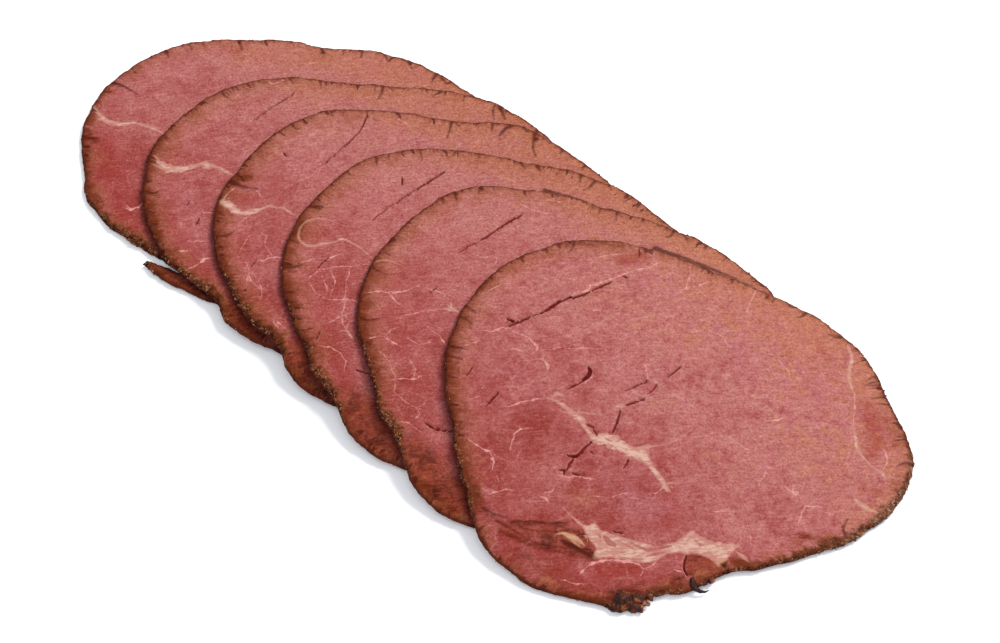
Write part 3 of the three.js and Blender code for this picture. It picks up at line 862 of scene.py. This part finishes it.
# The marks, stains and tones of a slice, kept at its points for the meat's finish to read
def addSkin(mesh, piece, looks, place, fromRim, gap, shade, lobe, crust, up):
    x, y, depth = place.T
    bearing, lines = bearingOf(x, y), castLines[piece["node"]]
    same = np.ones(len(x))
    addVectors(mesh, "place", x, y, depth)
    along = math.radians(looks["fibres"])
    alongFibre = x * math.cos(along) + y * math.sin(along)
    addVectors(mesh, "fibre", alongFibre, y * math.cos(along) - x * math.sin(along), depth)
    addVectors(mesh, "rimPlace", np.radians(bearing) * 60, fromRim, 11.0 * slices.index(piece) * same)
    haze = roundRim(rimLooks["hazeReach"], bearing) * piece["haze"]
    addVectors(mesh, "rimTone", crust, haze, roundRim(rimLooks["orange"], bearing))
    side, away, half = nearestLine(lines["fat"], x, y)
    inPatch = depthInside(lines["patch"], x, y)
    filled = inPatch > half - away
    side[filled] = away[filled] = np.maximum(1 - inPatch[filled], 0)
    half[filled] = 1
    addVectors(mesh, "fat", side, away, half)
    addVectors(mesh, "shade", gap, shade, roundRim(rimLooks["dark"], bearing))
    addVectors(mesh, "facing", np.abs(up), piece["blotch"] * same, 0 * same)
    bent = [v + 0.4 * unevenness(place, 2.3, seed) + 0.15 * unevenness(place, 0.9, seed)
            for v, seed in ((x, 4.4), (y, 8.7))]
    addVectors(mesh, "thread", *nearestLine(lines["thread"], *bent))
    addVectors(mesh, "crack", *nearestLine(lines["crack"], x, y))
    _, island, islandWidth = nearestLine(lines["meat"], x, y)
    # dark brown wedges, and lines of painted shadow in the gaps under the rim of the slice above
    _, streak, streakAndGapShadeWidth = nearestLine(lines["streak"], x, y)
    towards, over = math.radians(looks["paling"][0]), looks["paling"][1]
    pale = (x * math.cos(towards) + y * math.sin(towards)) / over
    addVectors(mesh, "inset", islandWidth - island, streakAndGapShadeWidth - streak, pale)
    addVectors(mesh, "stain", *[stainAndSheenStrength(piece, kind, x, y) for kind in ("brown", "red", "tan")])
    # mauve patches, partly the meat's own tone and partly painted sheen
    mauveAndSheen = stainAndSheenStrength(piece, "mauveAndSheen", x, y)
    addVectors(mesh, "tinge", lobe, mauveAndSheen, roundRim(rimLooks["grey"], bearing))


def makeSlice(piece, above, looks, material):
    index = slices.index(piece)
    mesh = toMesh(finerShape(piece, looks), piece["node"] + "_meat")
    co, normal = coordinates(mesh) / mm, coordinates(mesh, "normal")
    x, y = ownPoint(piece, co[:, 0], co[:, 1])
    keepRim(piece, co, normal, 12 if index == 0 else 4)  # the bottom slice's crevice runs further in
    fromRim = nearestRim(piece["node"], co)
    gap, shade = shadeOf(above, co) if above else (np.full(len(x), farAway), np.zeros(len(x)))
    depth = looks["thickness"] * (0.5 * normal[:, 2] - index)  # its level in the roast before it was sliced
    place = np.stack([x, y, depth], axis=1)
    lobe = stainAndSheenStrength(piece, "lobe", x, y)
    crust = crustOf(piece, bearingOf(x, y)) * (1 - 0.2 * lobe)
    # the rim swells a little, and juts in and out, most where it is crusty
    near = np.flatnonzero(fromRim < 3.5)
    coarse, fine = looks["cragSizes"]
    jut = unevenness(place[near], coarse, 1.7) + 0.8 * unevenness(place[near], fine, 5.3)
    jut *= looks["crag"] * (0.5 + 0.9 * crust[near]) * nearRim(fromRim[near], 0.9)
    jut += looks["swell"] * nearRim(fromRim[near], 1.5)
    out = np.stack([co[near, 0] - piece["middle"][0], co[near, 1] - piece["middle"][1]], axis=1)
    out /= np.linalg.norm(out, axis=1)[:, None]
    co[near, :2] += out * jut[:, None]
    bump = unevenness(place[near], 0.9, 9.1) * looks["bump"] * crust[near] * nearRim(fromRim[near], 1.6)
    co[near, 2] += bump * np.clip(normal[near, 2], 0, 1)
    # both cut faces rise and dip a little
    wave = np.sin(x / 5.1 + 1.3 * index) * np.sin(y / 4.3 + 0.7) + 0.6 * np.sin(x / 2.3 + y / 3.1)
    co[:, 2] += looks["wave"] * wave * np.clip(fromRim / 6, 0, 1) * np.clip(co[:, 2] / 2, 0, 1)
    # cracks are open splits
    _, away, half = nearestLine(castLines[piece["node"]]["crack"], x, y)
    split = np.clip(1.15 - away / (half + 0.08), 0, 1) * np.clip(normal[:, 2] * 2 - 0.6, 0, 1)
    co[:, 2] = np.maximum(co[:, 2] - looks["split"] * split, 0)
    for axis in (0, 1):
        low, high = cadBox[0][axis] / mm + looks["clearance"], cadBox[1][axis] / mm - looks["clearance"]
        co[:, axis] = np.clip(co[:, axis], low, high)
    mesh.vertices.foreach_set("co", (co * mm).ravel())
    addSkin(mesh, piece, looks, place, fromRim, gap, shade, lobe, crust, normal[:, 2])
    meat = finishPiece(piece["node"] + "_meat", mesh, piece["node"], material)
    print(piece["node"], "made,", len(mesh.polygons), "faces")
    return meat


# A colour as a screen shows it, 0 to 255
def colour(red, green, blue):
    parts = [v / 255 for v in (red, green, blue)]
    return (*[v / 12.92 if v <= 0.04045 else ((v + 0.055) / 1.055) ** 2.4 for v in parts], 1)


# The paint that shows as this screen colour under the lights below
def shown(red, green, blue, lit=1.52, gloss=0.011):
    return (*[max((v - gloss) / lit, 0.002) for v in colour(red, green, blue)[:3]], 1)


# A socket that sums and products can be written with; each adds its Math node to the recipe
class Wire:
    def __init__(self, recipe, socket):
        self.recipe, self.socket = recipe, socket

    def maths(self, operation, *values):
        return self.recipe.add("ShaderNodeMath", {"operation": operation}, values)

    def __add__(self, other):
        return self.maths("ADD", self, other)

    def __radd__(self, other):
        return self.maths("ADD", other, self)

    def __sub__(self, other):
        return self.maths("SUBTRACT", self, other)

    def __rsub__(self, other):
        return self.maths("SUBTRACT", other, self)

    def __mul__(self, other):
        return self.maths("MULTIPLY", self, other)

    def __truediv__(self, other):
        return self.maths("DIVIDE", self, other)

    def __abs__(self):
        return self.maths("ABSOLUTE", self)


class Recipe:
    def __init__(self, name):
        self.material = bpy.data.materials.new(name)
        self.material.use_nodes = True
        self.tree = self.material.node_tree
        self.shader = self.tree.nodes["Principled BSDF"]

    def add(self, kind, settings=None, values=(), out=0):
        node = self.tree.nodes.new(kind)
        for name, value in (settings or {}).items():
            if name == "stops":
                self.setStops(node.color_ramp, value)
            else:
                setattr(node, name, value)
        pairs = values.items() if isinstance(values, dict) else enumerate(values)
        for key, value in pairs:
            self.feed(node.inputs[key], value)
        return Wire(self, node.outputs[out])

    def feed(self, socket, value):
        if isinstance(value, Wire):
            self.tree.links.new(value.socket, socket)
        else:
            socket.default_value = value

    def setStops(self, ramp, stops):
        while len(ramp.elements) < len(stops):
            ramp.elements.new(0.5)
        for element, (position, shade) in zip(ramp.elements, stops):
            element.position, element.color = position, shade

    def vector(self, name):
        return self.add("ShaderNodeAttribute", {"attribute_name": name}, (), 1)

    def parts(self, name):
        split = self.add("ShaderNodeSeparateXYZ", None, (self.vector(name),))
        return [Wire(self, socket) for socket in split.socket.node.outputs]

    def point(self, x, y, z):
        return self.add("ShaderNodeCombineXYZ", None, (x, y, z))

    def stretch(self, vector, factors):
        return self.add("ShaderNodeVectorMath", {"operation": "MULTIPLY"}, (vector, factors))

    def noise(self, vector, size, detail=2, roughness=0.5, distortion=0, out=0):
        values = {"Vector": vector, "Scale": 1 / size, "Detail": detail, "Roughness": roughness,
                  "Distortion": distortion}
        return self.add("ShaderNodeTexNoise", None, values, out)

    def bend(self, vector, size, amount):
        shift = self.stretch(self.noise(vector, size, 1.5, out=1), (amount, amount, amount))
        return self.add("ShaderNodeVectorMath", {"operation": "ADD"}, (vector, shift))

    def web(self, vector, size, width):
        values = {"Vector": vector, "Scale": 1 / size}
        edge = self.add("ShaderNodeTexVoronoi", {"feature": "DISTANCE_TO_EDGE"}, values)
        return 1 - self.fade(edge, 0.3 * width / size, width / size)

    def fade(self, value, start, end):
        values = {"Value": value, "From Min": start, "From Max": end}
        return self.add("ShaderNodeMapRange", {"interpolation_type": "SMOOTHSTEP"}, values)

    def mix(self, amount, first, second, blend="MIX"):
        settings = {"data_type": "RGBA", "blend_type": blend}
        return self.add("ShaderNodeMix", settings, {0: amount, 6: first, 7: second}, 2)

    def ramp(self, value, *stops):
        return self.add("ShaderNodeValToRGB", {"stops": stops}, (value,))

    def relief(self, height, strength):
        return self.add("ShaderNodeBump", None, {"Strength": strength, "Distance": mm, "Height": height})

    def finish(self, **sockets):
        for name, value in sockets.items():
            self.feed(self.shader.inputs[name.replace("_", " ")], value)
        return self.material


meatLooks = {
    "rose": shown(158, 69, 63),
    "deepPink": shown(175, 90, 87),
    "pink": shown(187, 109, 105),
    "tanPink": shown(194, 122, 115),
    "tan": shown(190, 117, 95),
    "red": shown(160, 60, 52),
    # mauve, for random cool patches and for patches of painted sheen
    "mauveAndSheen": shown(186, 108, 110),
    "lobe": shown(152, 71, 53),
    "lobeDark": shown(102, 46, 28),
    "orange": shown(186, 115, 82),
    "olive": shown(174, 105, 78),
    "fat": shown(228, 184, 166),
    "fatEdge": shown(202, 138, 125),
    "fatGold": shown(212, 162, 122),
    "vein": shown(238, 166, 160),
    "lip": shown(206, 138, 130),
    "crack": shown(150, 42, 44),
    "crackDeep": shown(108, 22, 24),
    "hazeBrown": shown(122, 57, 38),
    "hazeDark": shown(104, 50, 32),
    "brown": shown(80, 34, 12),
    "rimBrown": shown(106, 51, 37),
    "shade": (0.42, 0.32, 0.42, 1),  # what the painted shade under a rim leaves of the colour there
    "stain": (0.48, 0.3, 0.1, 1),  # what a brown stain leaves of the colour under it
    "wall": shown(110, 49, 38),
    "wallDark": shown(66, 30, 23),
    "wallRed": shown(146, 72, 56),
    "crustDark": shown(58, 31, 18),
    "crustBrown": shown(104, 56, 34),
    "crustRed": shown(132, 70, 48),
    "crustGrey": shown(122, 84, 66),
    "crustTan": shown(162, 116, 90),
    "crustPale": shown(200, 168, 150),
    "gold": shown(206, 148, 110),
    "broad": 16,  # sizes of the meat's unevenness, mm
    "patch": 4.5,
    "medium": 3,
    "nibbled": 1.9,
    "fine": 1.3,
    "craggy": 0.9,
    "speck": 0.6,
    "grain": 1.1,  # how strongly the fibres and specks show; the lighter specks are painted sheen glints
    "specks": 1.7,
    "roughness": 0.5,
    "sheen": 0.06,
}


def makeMeat(looks):
    meat = Recipe("cutBeef")
    place, fibre = meat.vector("place"), meat.vector("fibre")
    along, fromRim, layer = meat.parts("rimPlace")
    crust, reach, orange = meat.parts("rimTone")
    island, streak, pale = meat.parts("inset")
    brown, red, tan = meat.parts("stain")
    lobe, mauveAndSheen, grey = meat.parts("tinge")
    gap, shade, dark = meat.parts("shade")
    flat, blotch, _ = meat.parts("facing")
    # unevenness of several sizes, about 0
    broad = meat.noise(place, looks["broad"], 3, 0.6) - 0.5
    patch = meat.noise(place, looks["patch"], 4, 0.62, 0.6) - 0.5
    medium = meat.noise(place, looks["medium"], 2, 0.5, 0.8) - 0.5
    nibbled = meat.noise(place, looks["nibbled"], 4, 0.65) - 0.5
    fine = meat.noise(place, looks["fine"], 3, 0.65) - 0.5
    craggy = meat.noise(place, looks["craggy"], 4, 0.75) - 0.5
    speck = meat.noise(place, looks["speck"], 2, 0.8) - 0.5
    fibres = meat.noise(meat.stretch(fibre, (0.3, 1.5, 1)), 0.8, 3, 0.7) - 0.5
    ragged = meat.noise(meat.stretch(fibre, (0.35, 1.4, 1)), 1.2, 4, 0.7) - 0.5
    # the pinks of the cut face, its stains, mauve patches that are partly painted sheen, and the browner
    # lobe
    mottle = blotch * (0.25 + meat.fade(pale, -0.6, 0.9) * 1.2)
    tone = pale * 0.42 + 0.5 + broad * 0.9 + patch * (0.6 + mottle * 0.25) + medium * mottle
    base = meat.ramp(tone, (0.06, looks["rose"]), (0.3, looks["deepPink"]), (0.5, looks["pink"]),
                     (0.72, looks["tanPink"]), (0.98, looks["tan"]))
    cooler = meat.fade(meat.noise(place, 4, 2, 0.5, 1), 0.5, 0.62) * mottle * 0.4
    base = meat.mix(cooler, base, looks["mauveAndSheen"])
    # mauve patches, partly the meat's own tone and partly painted sheen
    base = meat.mix(meat.fade(mauveAndSheen + patch * 0.8, 0.1, 1) * 0.6, base, looks["mauveAndSheen"])
    base = meat.mix(meat.fade(tan + patch * 0.9, 0.1, 1) * 0.65, base, looks["tan"])
    base = meat.mix(meat.fade(red + patch * 0.8, 0.1, 1) * 0.7, base, looks["red"])
    lobeTone = meat.mix(meat.fade(ragged * 1.2 + patch * 1.6, -0.1, 0.34), looks["lobe"], looks["lobeDark"])
    base = meat.mix(meat.fade(lobe + patch * 0.6, 0.1, 0.8) * 0.9, base, lobeTone)
    # fine webs of fat between the bundles of muscle, pale dots that are partly flecks of fat and partly
    # painted sheen glints, and short dashes along the fibres
    bent = meat.bend(place, 5, 1.8)
    where = meat.fade(meat.noise(place, 8, 3) - pale * 0.05, 0.5, 0.64)
    websAndGlints = meat.web(bent, 7, 0.4) * where * 0.12
    where = meat.fade(meat.noise(place, 5.2, 3) - pale * 0.06, 0.52, 0.66)
    # the pale dots from the specks are partly painted sheen glints
    websAndGlints = websAndGlints + meat.web(bent, 2.9, 0.32) * where * 0.08 + meat.fade(speck, 0.14, 0.26) * 0.2
    dashes = meat.fade(meat.noise(meat.stretch(fibre, (0.2, 1.7, 1)), 0.8, 2, 0.6), 0.54, 0.68)
    websAndGlints = websAndGlints + dashes * meat.fade(meat.noise(place, 11, 2), 0.42, 0.6) * 0.16
    base = meat.mix(websAndGlints * (1 - lobe * 0.8), base, looks["vein"])
    # the rim's haze, in streaks that run in from the rim: a wide warm one, and a narrower brown one
    comb = meat.noise(meat.point(along + patch * 4, fromRim * 0.2, layer), 1.8, 3, 0.6) - 0.5
    rays = meat.noise(meat.point(along + patch * 2, fromRim * 0.3, layer + 40), 0.9, 3, 0.65) - 0.5
    inward = fromRim + patch * 11 + comb * 12 + medium * 4
    haze = 1 - meat.fade(inward / reach, 0, 1)
    base = meat.mix(haze * orange * 0.75, base, looks["orange"])
    base = meat.mix(haze * (1 - orange) * 0.75, base, looks["olive"])
    darker = 1 - meat.fade((fromRim + patch * 7 + nibbled * 4 + comb * 9) / (reach * 0.65), 0, 1)
    base = meat.mix(darker * (1 - orange * 0.8) * dark * 0.9, base, looks["hazeBrown"])
    rimRays = meat.fade(rays * 3 + nibbled * 1.5 - fromRim / reach * 1.6, -0.05, 0.55)
    base = meat.mix(rimRays * 0.7, base, looks["hazeDark"])
    # grain of fibres and specks; the lighter specks are painted sheen glints
    light = fibres * looks["grain"] + speck * looks["specks"] + fine * 0.5
    paler = 1 + light * 1.25
    base = meat.mix(1.0, base, meat.point(1 + light * 0.67, paler, paler), "MULTIPLY")
    # brown stains, streaky along the fibres
    stained = meat.fade(brown * 1.2 + ragged * 1.3, 0.1, 0.9)
    base = meat.mix(stained * 0.95, base, looks["stain"], "MULTIPLY")
    # seams of fat, with red streaks left in the wide ones
    wobble = fine * 1.5 + speck * 0.5
    side, away, half = meat.parts("fat")
    depth = half - abs(side) + (wobble + ragged * 1.4) * (half * 0.65 + 0.12)
    guard = 1 - meat.fade(away - half, 0.5, 0.9)
    islands = meat.fade(island + wobble * 0.4, -0.2, 0.15) * 0.75
    inside = meat.fade(depth, -0.15, 0.4) * guard * (1 - islands)
    cloudy = meat.fade(depth * 0.6 + patch * 2 + ragged * 3.2 - 0.2, 0, 0.9)
    fatTone = meat.mix(cloudy, looks["fatEdge"], looks["fat"])
    fatTone = meat.mix((1 - meat.fade(fromRim, 0.6, 3)) * 0.6, fatTone, looks["fatGold"])
    fatTone = meat.mix(meat.fade(brown + tan + ragged, 0.1, 1) * 0.8, fatTone, looks["fatGold"])
    base = meat.mix(inside * (1 - stained * 0.5), base, fatTone)
    side, away, half = meat.parts("thread")
    knots = meat.fade(meat.noise(place, 2, 1), 0.52, 0.7)
    hair = half * (0.6 + knots * 1.5) - abs(side) + wobble * 0.3
    hair = meat.fade(hair, -0.18, 0.16) * (1 - meat.fade(away - half, 0.35, 0.7))
    strong = meat.fade(meat.noise(place, 3.4, 3, 0.7), 0.36, 0.56)
    base = meat.mix(hair * (half * 2 + strong * 0.42 + fine * 1.2 + 0.06), base, looks["vein"])
    # cracks, with a pale lip below each
    side, away, half = meat.parts("crack")
    nearCrack = 1 - meat.fade(away - half, 0.4, 0.8)
    lip = meat.fade(0.42 - abs(side - half - 0.22) + wobble * 0.5, 0, 0.35) * nearCrack
    base = meat.mix(lip * 0.45, base, looks["lip"])
    opened = meat.fade(half - abs(side) + wobble * 0.3, -0.14, 0.14) * nearCrack
    crackTone = meat.mix(meat.fade(half + fine, 0.25, 0.6), looks["crack"], looks["crackDeep"])
    base = meat.mix(opened * 0.92, base, crackTone)
    # dark wedges run in from the rim, and a dark line follows it; the drawn streaks also paint the shadow in
    # the gaps under the rim of the slice above
    peaks = (meat.noise(meat.point(along + patch * 3, fromRim * 0.25, layer), 1.5, 1.5) - 0.53) * 20
    toothed = meat.fade(meat.noise(place, 8, 2), 0.36, 0.56)
    teeth = meat.fade(peaks * toothed - fromRim + fine * 1.2, 0, 0.9)
    fringe = (1 - meat.fade(fromRim + nibbled * 4 + comb * 4, 0.2, 1.5 + dark * 1.6)) * (0.4 + dark * 0.35)
    broken = meat.fade(patch + comb + dark * 0.3, -0.1, 0.2)
    line = (1 - meat.fade(fromRim + fine * 1.6 + nibbled * 2.4, 0.1, 1)) * (0.35 + broken * 0.5)
    drawn = meat.fade(streak + ragged * 1.2 + fine * 0.6, -0.5, 0.45)
    base = meat.mix(fringe, base, looks["hazeBrown"])
    base = meat.mix(teeth * 0.75, base, looks["brown"])
    # drawn wedges, and painted shadow in the gaps under the rim of the slice above
    base = meat.mix(drawn * 0.8, base, looks["brown"])
    base = meat.mix(line, base, looks["rimBrown"])
    # the crust: thick where the roast browned most, and elsewhere a thin broken line
    edge = fromRim + craggy * 2.4 * crust + nibbled * 4 * crust + comb * 3 * crust - 0.15
    edge = edge / (crust * crust * 3 + 0.25)
    skin = 1 - meat.fade(edge, 0.35 - grey * 0.2, 1.15)
    skinTone = meat.mix(meat.fade(edge + craggy * 2.4, -0.2, 0.25), looks["crustDark"], looks["crustBrown"])
    skinTone = meat.mix(meat.fade(edge + nibbled * 2.4, 0.2, 0.8), skinTone, looks["crustRed"])
    chips = meat.noise(place, 1.5, 4, 0.8, 1) + fine * 0.5
    greyTone = meat.ramp(chips, (0.34, looks["crustDark"]), (0.44, looks["crustBrown"]),
                         (0.5, looks["crustGrey"]), (0.57, looks["crustTan"]), (0.66, looks["crustPale"]))
    greyTone = meat.mix(meat.fade(patch + nibbled, 0.02, 0.2) * 0.7, greyTone, looks["crustRed"])
    skinTone = meat.mix(grey, skinTone, greyTone)
    glint = meat.fade(meat.noise(place, 0.7, 3, 0.8), 0.53, 0.63)
    glint = glint * meat.fade(meat.noise(place, 5, 2), 0.42, 0.56)
    skinTone = meat.mix(glint * (1 - grey) * 0.8, skinTone, looks["gold"])
    thick = meat.fade(crust + patch * 0.5 + craggy * 0.4, 0.36, 0.6)
    base = meat.mix(skin * (0.5 + thick * 0.45), base, meat.mix(thick, looks["rimBrown"], skinTone))
    # the cut's side, reddish with dark spots where no crust covers it
    wallTone = meat.ramp(0.5 + nibbled + craggy * 0.8 + comb,
                         (0.38, looks["wallDark"]), (0.5, looks["wall"]), (0.64, looks["wallRed"]))
    wall = (1 - meat.fade(flat, 0.2, 0.75)) * (1 - grey) * (1 - thick * 0.5)
    base = meat.mix(wall * 0.75, base, wallTone)
    # painted shade on a slice beside the rim of the next one
    under = 1 - meat.fade(gap + fine * 0.6, -0.3, 1.9)
    base = meat.mix(under * shade, base, looks["shade"], "MULTIPLY")
    # relief
    height = fibres * 0.12 + speck * 0.1 + patch * 0.25 + inside * 0.06 - opened * 0.2 + skin * craggy * 1.3
    roughness = looks["roughness"] + fibres * 0.3 + skin * 0.2 - inside * 0.06
    return meat.finish(Base_Color=base, Roughness=roughness, Normal=meat.relief(height, 0.6),
                       Specular_IOR_Level=looks["sheen"])


cutBeef = makeMeat(meatLooks)
slicePieces, above = {}, None
for piece in reversed(slices):  # from the top one down, as each shades the one below
    slicePieces[piece["node"]] = makeSlice(piece, above, sliceLooks, cutBeef)
    above = piece

# Crumbs of crust on the rims, and lumps and shreds that hang from the top slice's lower rim
crumbLooks = {
    "count": 220,  # for each slice
    "size": (0.14, 0.4),  # mm
    "clump": 3,  # mm
    "rimBand": 1.6,  # how far in from the rim they lie, mm
    "dark": shown(74, 40, 26),
    "brown": shown(118, 66, 42),
    "gold": shown(204, 148, 108),
}


def makeCrumbFinish(looks):
    crumb = Recipe("roastCrumbs")
    place = crumb.add("ShaderNodeTexCoord", None, (), 3)
    spots = crumb.noise(place, 1.3 * mm, 2, 0.6)
    base = crumb.ramp(spots, (0.4, looks["dark"]), (0.52, looks["brown"]), (0.66, looks["gold"]))
    fine = crumb.noise(place, 0.35 * mm, 3, 0.7)
    relief = crumb.relief(fine * 0.3, 0.7)
    return crumb.finish(Base_Color=base, Roughness=0.6, Normal=relief, Specular_IOR_Level=0.3)


def insideBox(centre, size):
    return all(cadBox[0][i] + size < centre[i] < cadBox[1][i] - size for i in range(3))


# One rough lump of crust, as long, wide and high as its size gives; its vertices are returned
def addLump(shape, centre, size, detail, dice):
    turn = Matrix.Rotation(dice.uniform(0, 6.3), 4, "Z") @ Matrix.Rotation(dice.uniform(-0.5, 0.5), 4, "X")
    where = Matrix.Translation(centre) @ turn @ Matrix.Diagonal((*size, 1))
    made = bmesh.ops.create_icosphere(shape, subdivisions=detail, radius=1, matrix=where)
    for v in made["verts"]:
        away, spot = v.co - Vector(centre), v.co / max(size)
        jut = 0.5 * noise.noise(spot * 1.6) + 0.3 * noise.noise(spot * 4) + 0.16 * noise.noise(spot * 9)
        v.co += away * min(max(jut, -0.4), 0.25)
        v.co.z = max(v.co.z, 0)
    return made["verts"]


def addCrumbs(piece, meat, looks, material):
    dice = random.Random(40 + slices.index(piece))
    co, normal = coordinates(meat.data), coordinates(meat.data, "normal")
    x, y = ownPoint(piece, co[:, 0] / mm, co[:, 1] / mm)
    close = insetFromOutline(piece, x, y) < looks["rimBand"]
    rim = np.flatnonzero(close & (normal[:, 2] > -0.2) & (normal[:, 2] < 0.93))
    crust = crustOf(piece, bearingOf(x, y)[rim]) ** 3
    shape = bmesh.new()
    placed = 0
    for _ in range(40 * looks["count"]):
        pick = dice.randrange(len(rim))
        if placed >= looks["count"]:
            break
        centre = Vector(co[rim[pick]])
        clump = 0.35 + 2 * noise.noise(centre / (looks["clump"] * mm))
        if dice.random() > crust[pick] * clump:
            continue
        size = dice.uniform(*looks["size"]) * mm
        if insideBox(centre, 1.3 * size):
            stretched = [size * dice.uniform(*share) for share in ((0.7, 1.3), (0.6, 1), (0.5, 0.9))]
            addLump(shape, centre, stretched, 1, dice)
            placed += 1
    name = piece["node"] + "_crumbs"
    finishPiece(name, toMesh(shape, name), None, material)


shredLooks = {
    "burntFor": 4,  # mm: the lumps blacken towards the first of them
    "lumps": [  # pixel, height of the middle in mm, size in mm
        ((614, 606), 1.2, (2.2, 1.9, 1.2)),
        ((622, 602), 1.7, (3.4, 2.4, 1.2)),
        ((631, 606), 1.3, (3.6, 1.7, 1.1)),
        ((636, 599), 1.8, (3.0, 1.8, 1.1)),
        ((624, 594), 2.2, (2.0, 1.2, 0.6)),
        ((643, 603), 1.5, (2.0, 1.1, 0.8)),
        ((649, 595), 1.7, (1.8, 1.0, 0.8)),
        ((658, 594), 1.5, (1.3, 0.8, 0.6)),
        ((666, 592), 1.6, (1.6, 0.9, 0.7)),
        ((674, 590), 1.5, (1.2, 0.8, 0.6)),
        ((683, 587), 1.6, (1.6, 0.9, 0.7)),
        ((690, 581), 1.7, (1.2, 1.0, 0.7)),
        ((703, 583), 1.6, (1.4, 0.9, 0.7)),
        ((711, 579), 1.7, (1.5, 1.0, 0.7)),
        ((719, 574), 1.6, (1.3, 0.9, 0.6)),
        ((817, 542), 1.5, (1.4, 0.9, 0.7)),
        ((803, 546), 1.5, (1.4, 0.9, 0.7)),
        ((788, 551), 1.5, (1.3, 0.8, 0.6)),
        ((737, 565), 1.6, (1.5, 0.9, 0.6)),
        ((751, 562), 1.6, (1.3, 0.8, 0.6)),
    ],
    "shreds": [  # pixels and height in mm of each ring, and the shred's half width there
        [((692, 578), 2.9, 0.6), ((693, 584), 2.6, 1.0), ((696, 589), 2.1, 0.85), ((700, 591.5), 1.6, 0.6),
         ((705, 592), 1.3, 0.36), ((710, 590), 1.1, 0.05)],
        [((640, 602), 2.0, 0.7), ((645, 604), 1.7, 0.45), ((650, 606), 1.4, 0.08)],
        [((826, 542), 1.6, 0.5), ((831, 546), 1.3, 0.35), ((837, 550), 1.1, 0.06)],
    ],
    "black": shown(48, 31, 24),
    "dark": shown(84, 44, 29),
    "brown": shown(126, 64, 44),
    "gold": shown(190, 132, 96),
}


def makeShredFinish(looks):
    shred = Recipe("roastShreds")
    place = shred.add("ShaderNodeTexCoord", None, (), 3)
    burnt = shred.add("ShaderNodeAttribute", {"attribute_name": "burnt"}, (), 2)
    spots = shred.noise(place, 1.8 * mm, 4, 0.75) - burnt * 0.16
    base = shred.ramp(spots, (0.35, looks["black"]), (0.44, looks["dark"]), (0.54, looks["brown"]),
                      (0.68, looks["gold"]))
    relief = shred.relief(spots * 0.8, 0.7)
    return shred.finish(Base_Color=base, Roughness=0.6, Normal=relief, Specular_IOR_Level=0.2)


def atHeight(pixel, height):
    start, way = sight(*pixel)
    return start + way * ((height * mm - start.z) / way.z)


# One curled shred through its rings; its vertices are returned
def addShred(shape, rings):
    centres = [atHeight(pixel, height) for pixel, height, _ in rings]
    made, last = [], None
    for i, centre in enumerate(centres):
        ahead = (centres[min(i + 1, len(centres) - 1)] - centres[max(i - 1, 0)]).normalized()
        facing = ahead.to_track_quat("Z", "Y").to_matrix().to_4x4()
        flat = Matrix.Diagonal((rings[i][2] * mm, 0.6 * rings[i][2] * mm, 1, 1))
        ring = bmesh.ops.create_circle(shape, cap_ends=i in (0, len(rings) - 1), segments=10, radius=1,
                                       matrix=Matrix.Translation(centre) @ facing @ flat)["verts"]
        loop = list({e for v in ring for e in v.link_edges})
        if last:
            bmesh.ops.bridge_loops(shape, edges=last + loop)
        last = loop
        made += ring
    return made


def addShreds(looks, material):
    dice = random.Random(7)
    shape = bmesh.new()
    burnt = shape.verts.layers.float.new("burnt")
    blackest = atHeight(*looks["lumps"][0][:2])
    for pixel, height, size in looks["lumps"]:
        for v in addLump(shape, atHeight(pixel, height), [s * mm for s in size], 3, dice):
            v[burnt] = math.exp(-((v.co - blackest).length / mm / looks["burntFor"]) ** 2)
    for rings in looks["shreds"]:
        for v in addShred(shape, rings):
            v[burnt] = 1
    bmesh.ops.recalc_face_normals(shape, faces=shape.faces)
    finishPiece("roastShreds", toMesh(shape, "shreds"), None, material)


roastCrumbs = makeCrumbFinish(crumbLooks)
for piece in slices:
    addCrumbs(piece, slicePieces[piece["node"]], crumbLooks, roastCrumbs)
addShreds(shredLooks, makeShredFinish(shredLooks))
print("crumbs and shreds made")

# Pale floor and soft light from the right and behind
stageLooks = {
    "floorSize": 6,  # m
    "floorDrop": 0.1,  # mm under the lowest slice
    "floorColour": (0.95, 0.95, 0.955, 1),
    "floorGlow": (0.6, 0.75, 1, 1),  # lifts the shadow
    "floorGlowStrength": 0.08,
    "sky": (0.95, 0.97, 1, 1),
    "skyStrength": 0.59,
}
lights = [
    {"name": "keyLight", "bearing": 70, "height": 50, "distance": 2.6, "size": 1.1, "power": 66},
    {"name": "fillLight", "bearing": 290, "height": 60, "distance": 2.6, "size": 2.2, "power": 25},
]


def addStage(looks):
    shape = bmesh.new()
    bmesh.ops.create_grid(shape, x_segments=1, y_segments=1, size=looks["floorSize"] / 2)
    bmesh.ops.translate(shape, verts=shape.verts, vec=(0, 0, -looks["floorDrop"] * mm))
    floor = addObject("floor", toMesh(shape, "floor"))
    paint = Recipe("paleFloor")
    floor.data.materials.append(paint.finish(
        Base_Color=looks["floorColour"], Roughness=0.9, Specular_IOR_Level=0.1,
        Emission_Color=looks["floorGlow"], Emission_Strength=looks["floorGlowStrength"]))
    world = bpy.data.worlds.new("sky")
    bpy.context.scene.world = world
    world.use_nodes = True
    sky = world.node_tree.nodes["Background"]
    sky.inputs["Color"].default_value = looks["sky"]
    sky.inputs["Strength"].default_value = looks["skyStrength"]


def addLight(name, bearing, height, distance, size, power):
    data = bpy.data.lights.new(name, "AREA")
    data.size, data.energy = size, power
    lamp = addObject(name, data)
    around, above = math.radians(bearing), math.radians(height)
    level = math.cos(above)
    lamp.location = Vector((math.cos(around) * level, math.sin(around) * level, math.sin(above))) * distance
    lamp.rotation_euler = lamp.location.to_track_quat("Z", "Y").to_euler()


addStage(stageLooks)
for light in lights:
    addLight(**light)
bpy.context.scene.view_settings.view_transform = "Standard"
print("stage and lights ready")
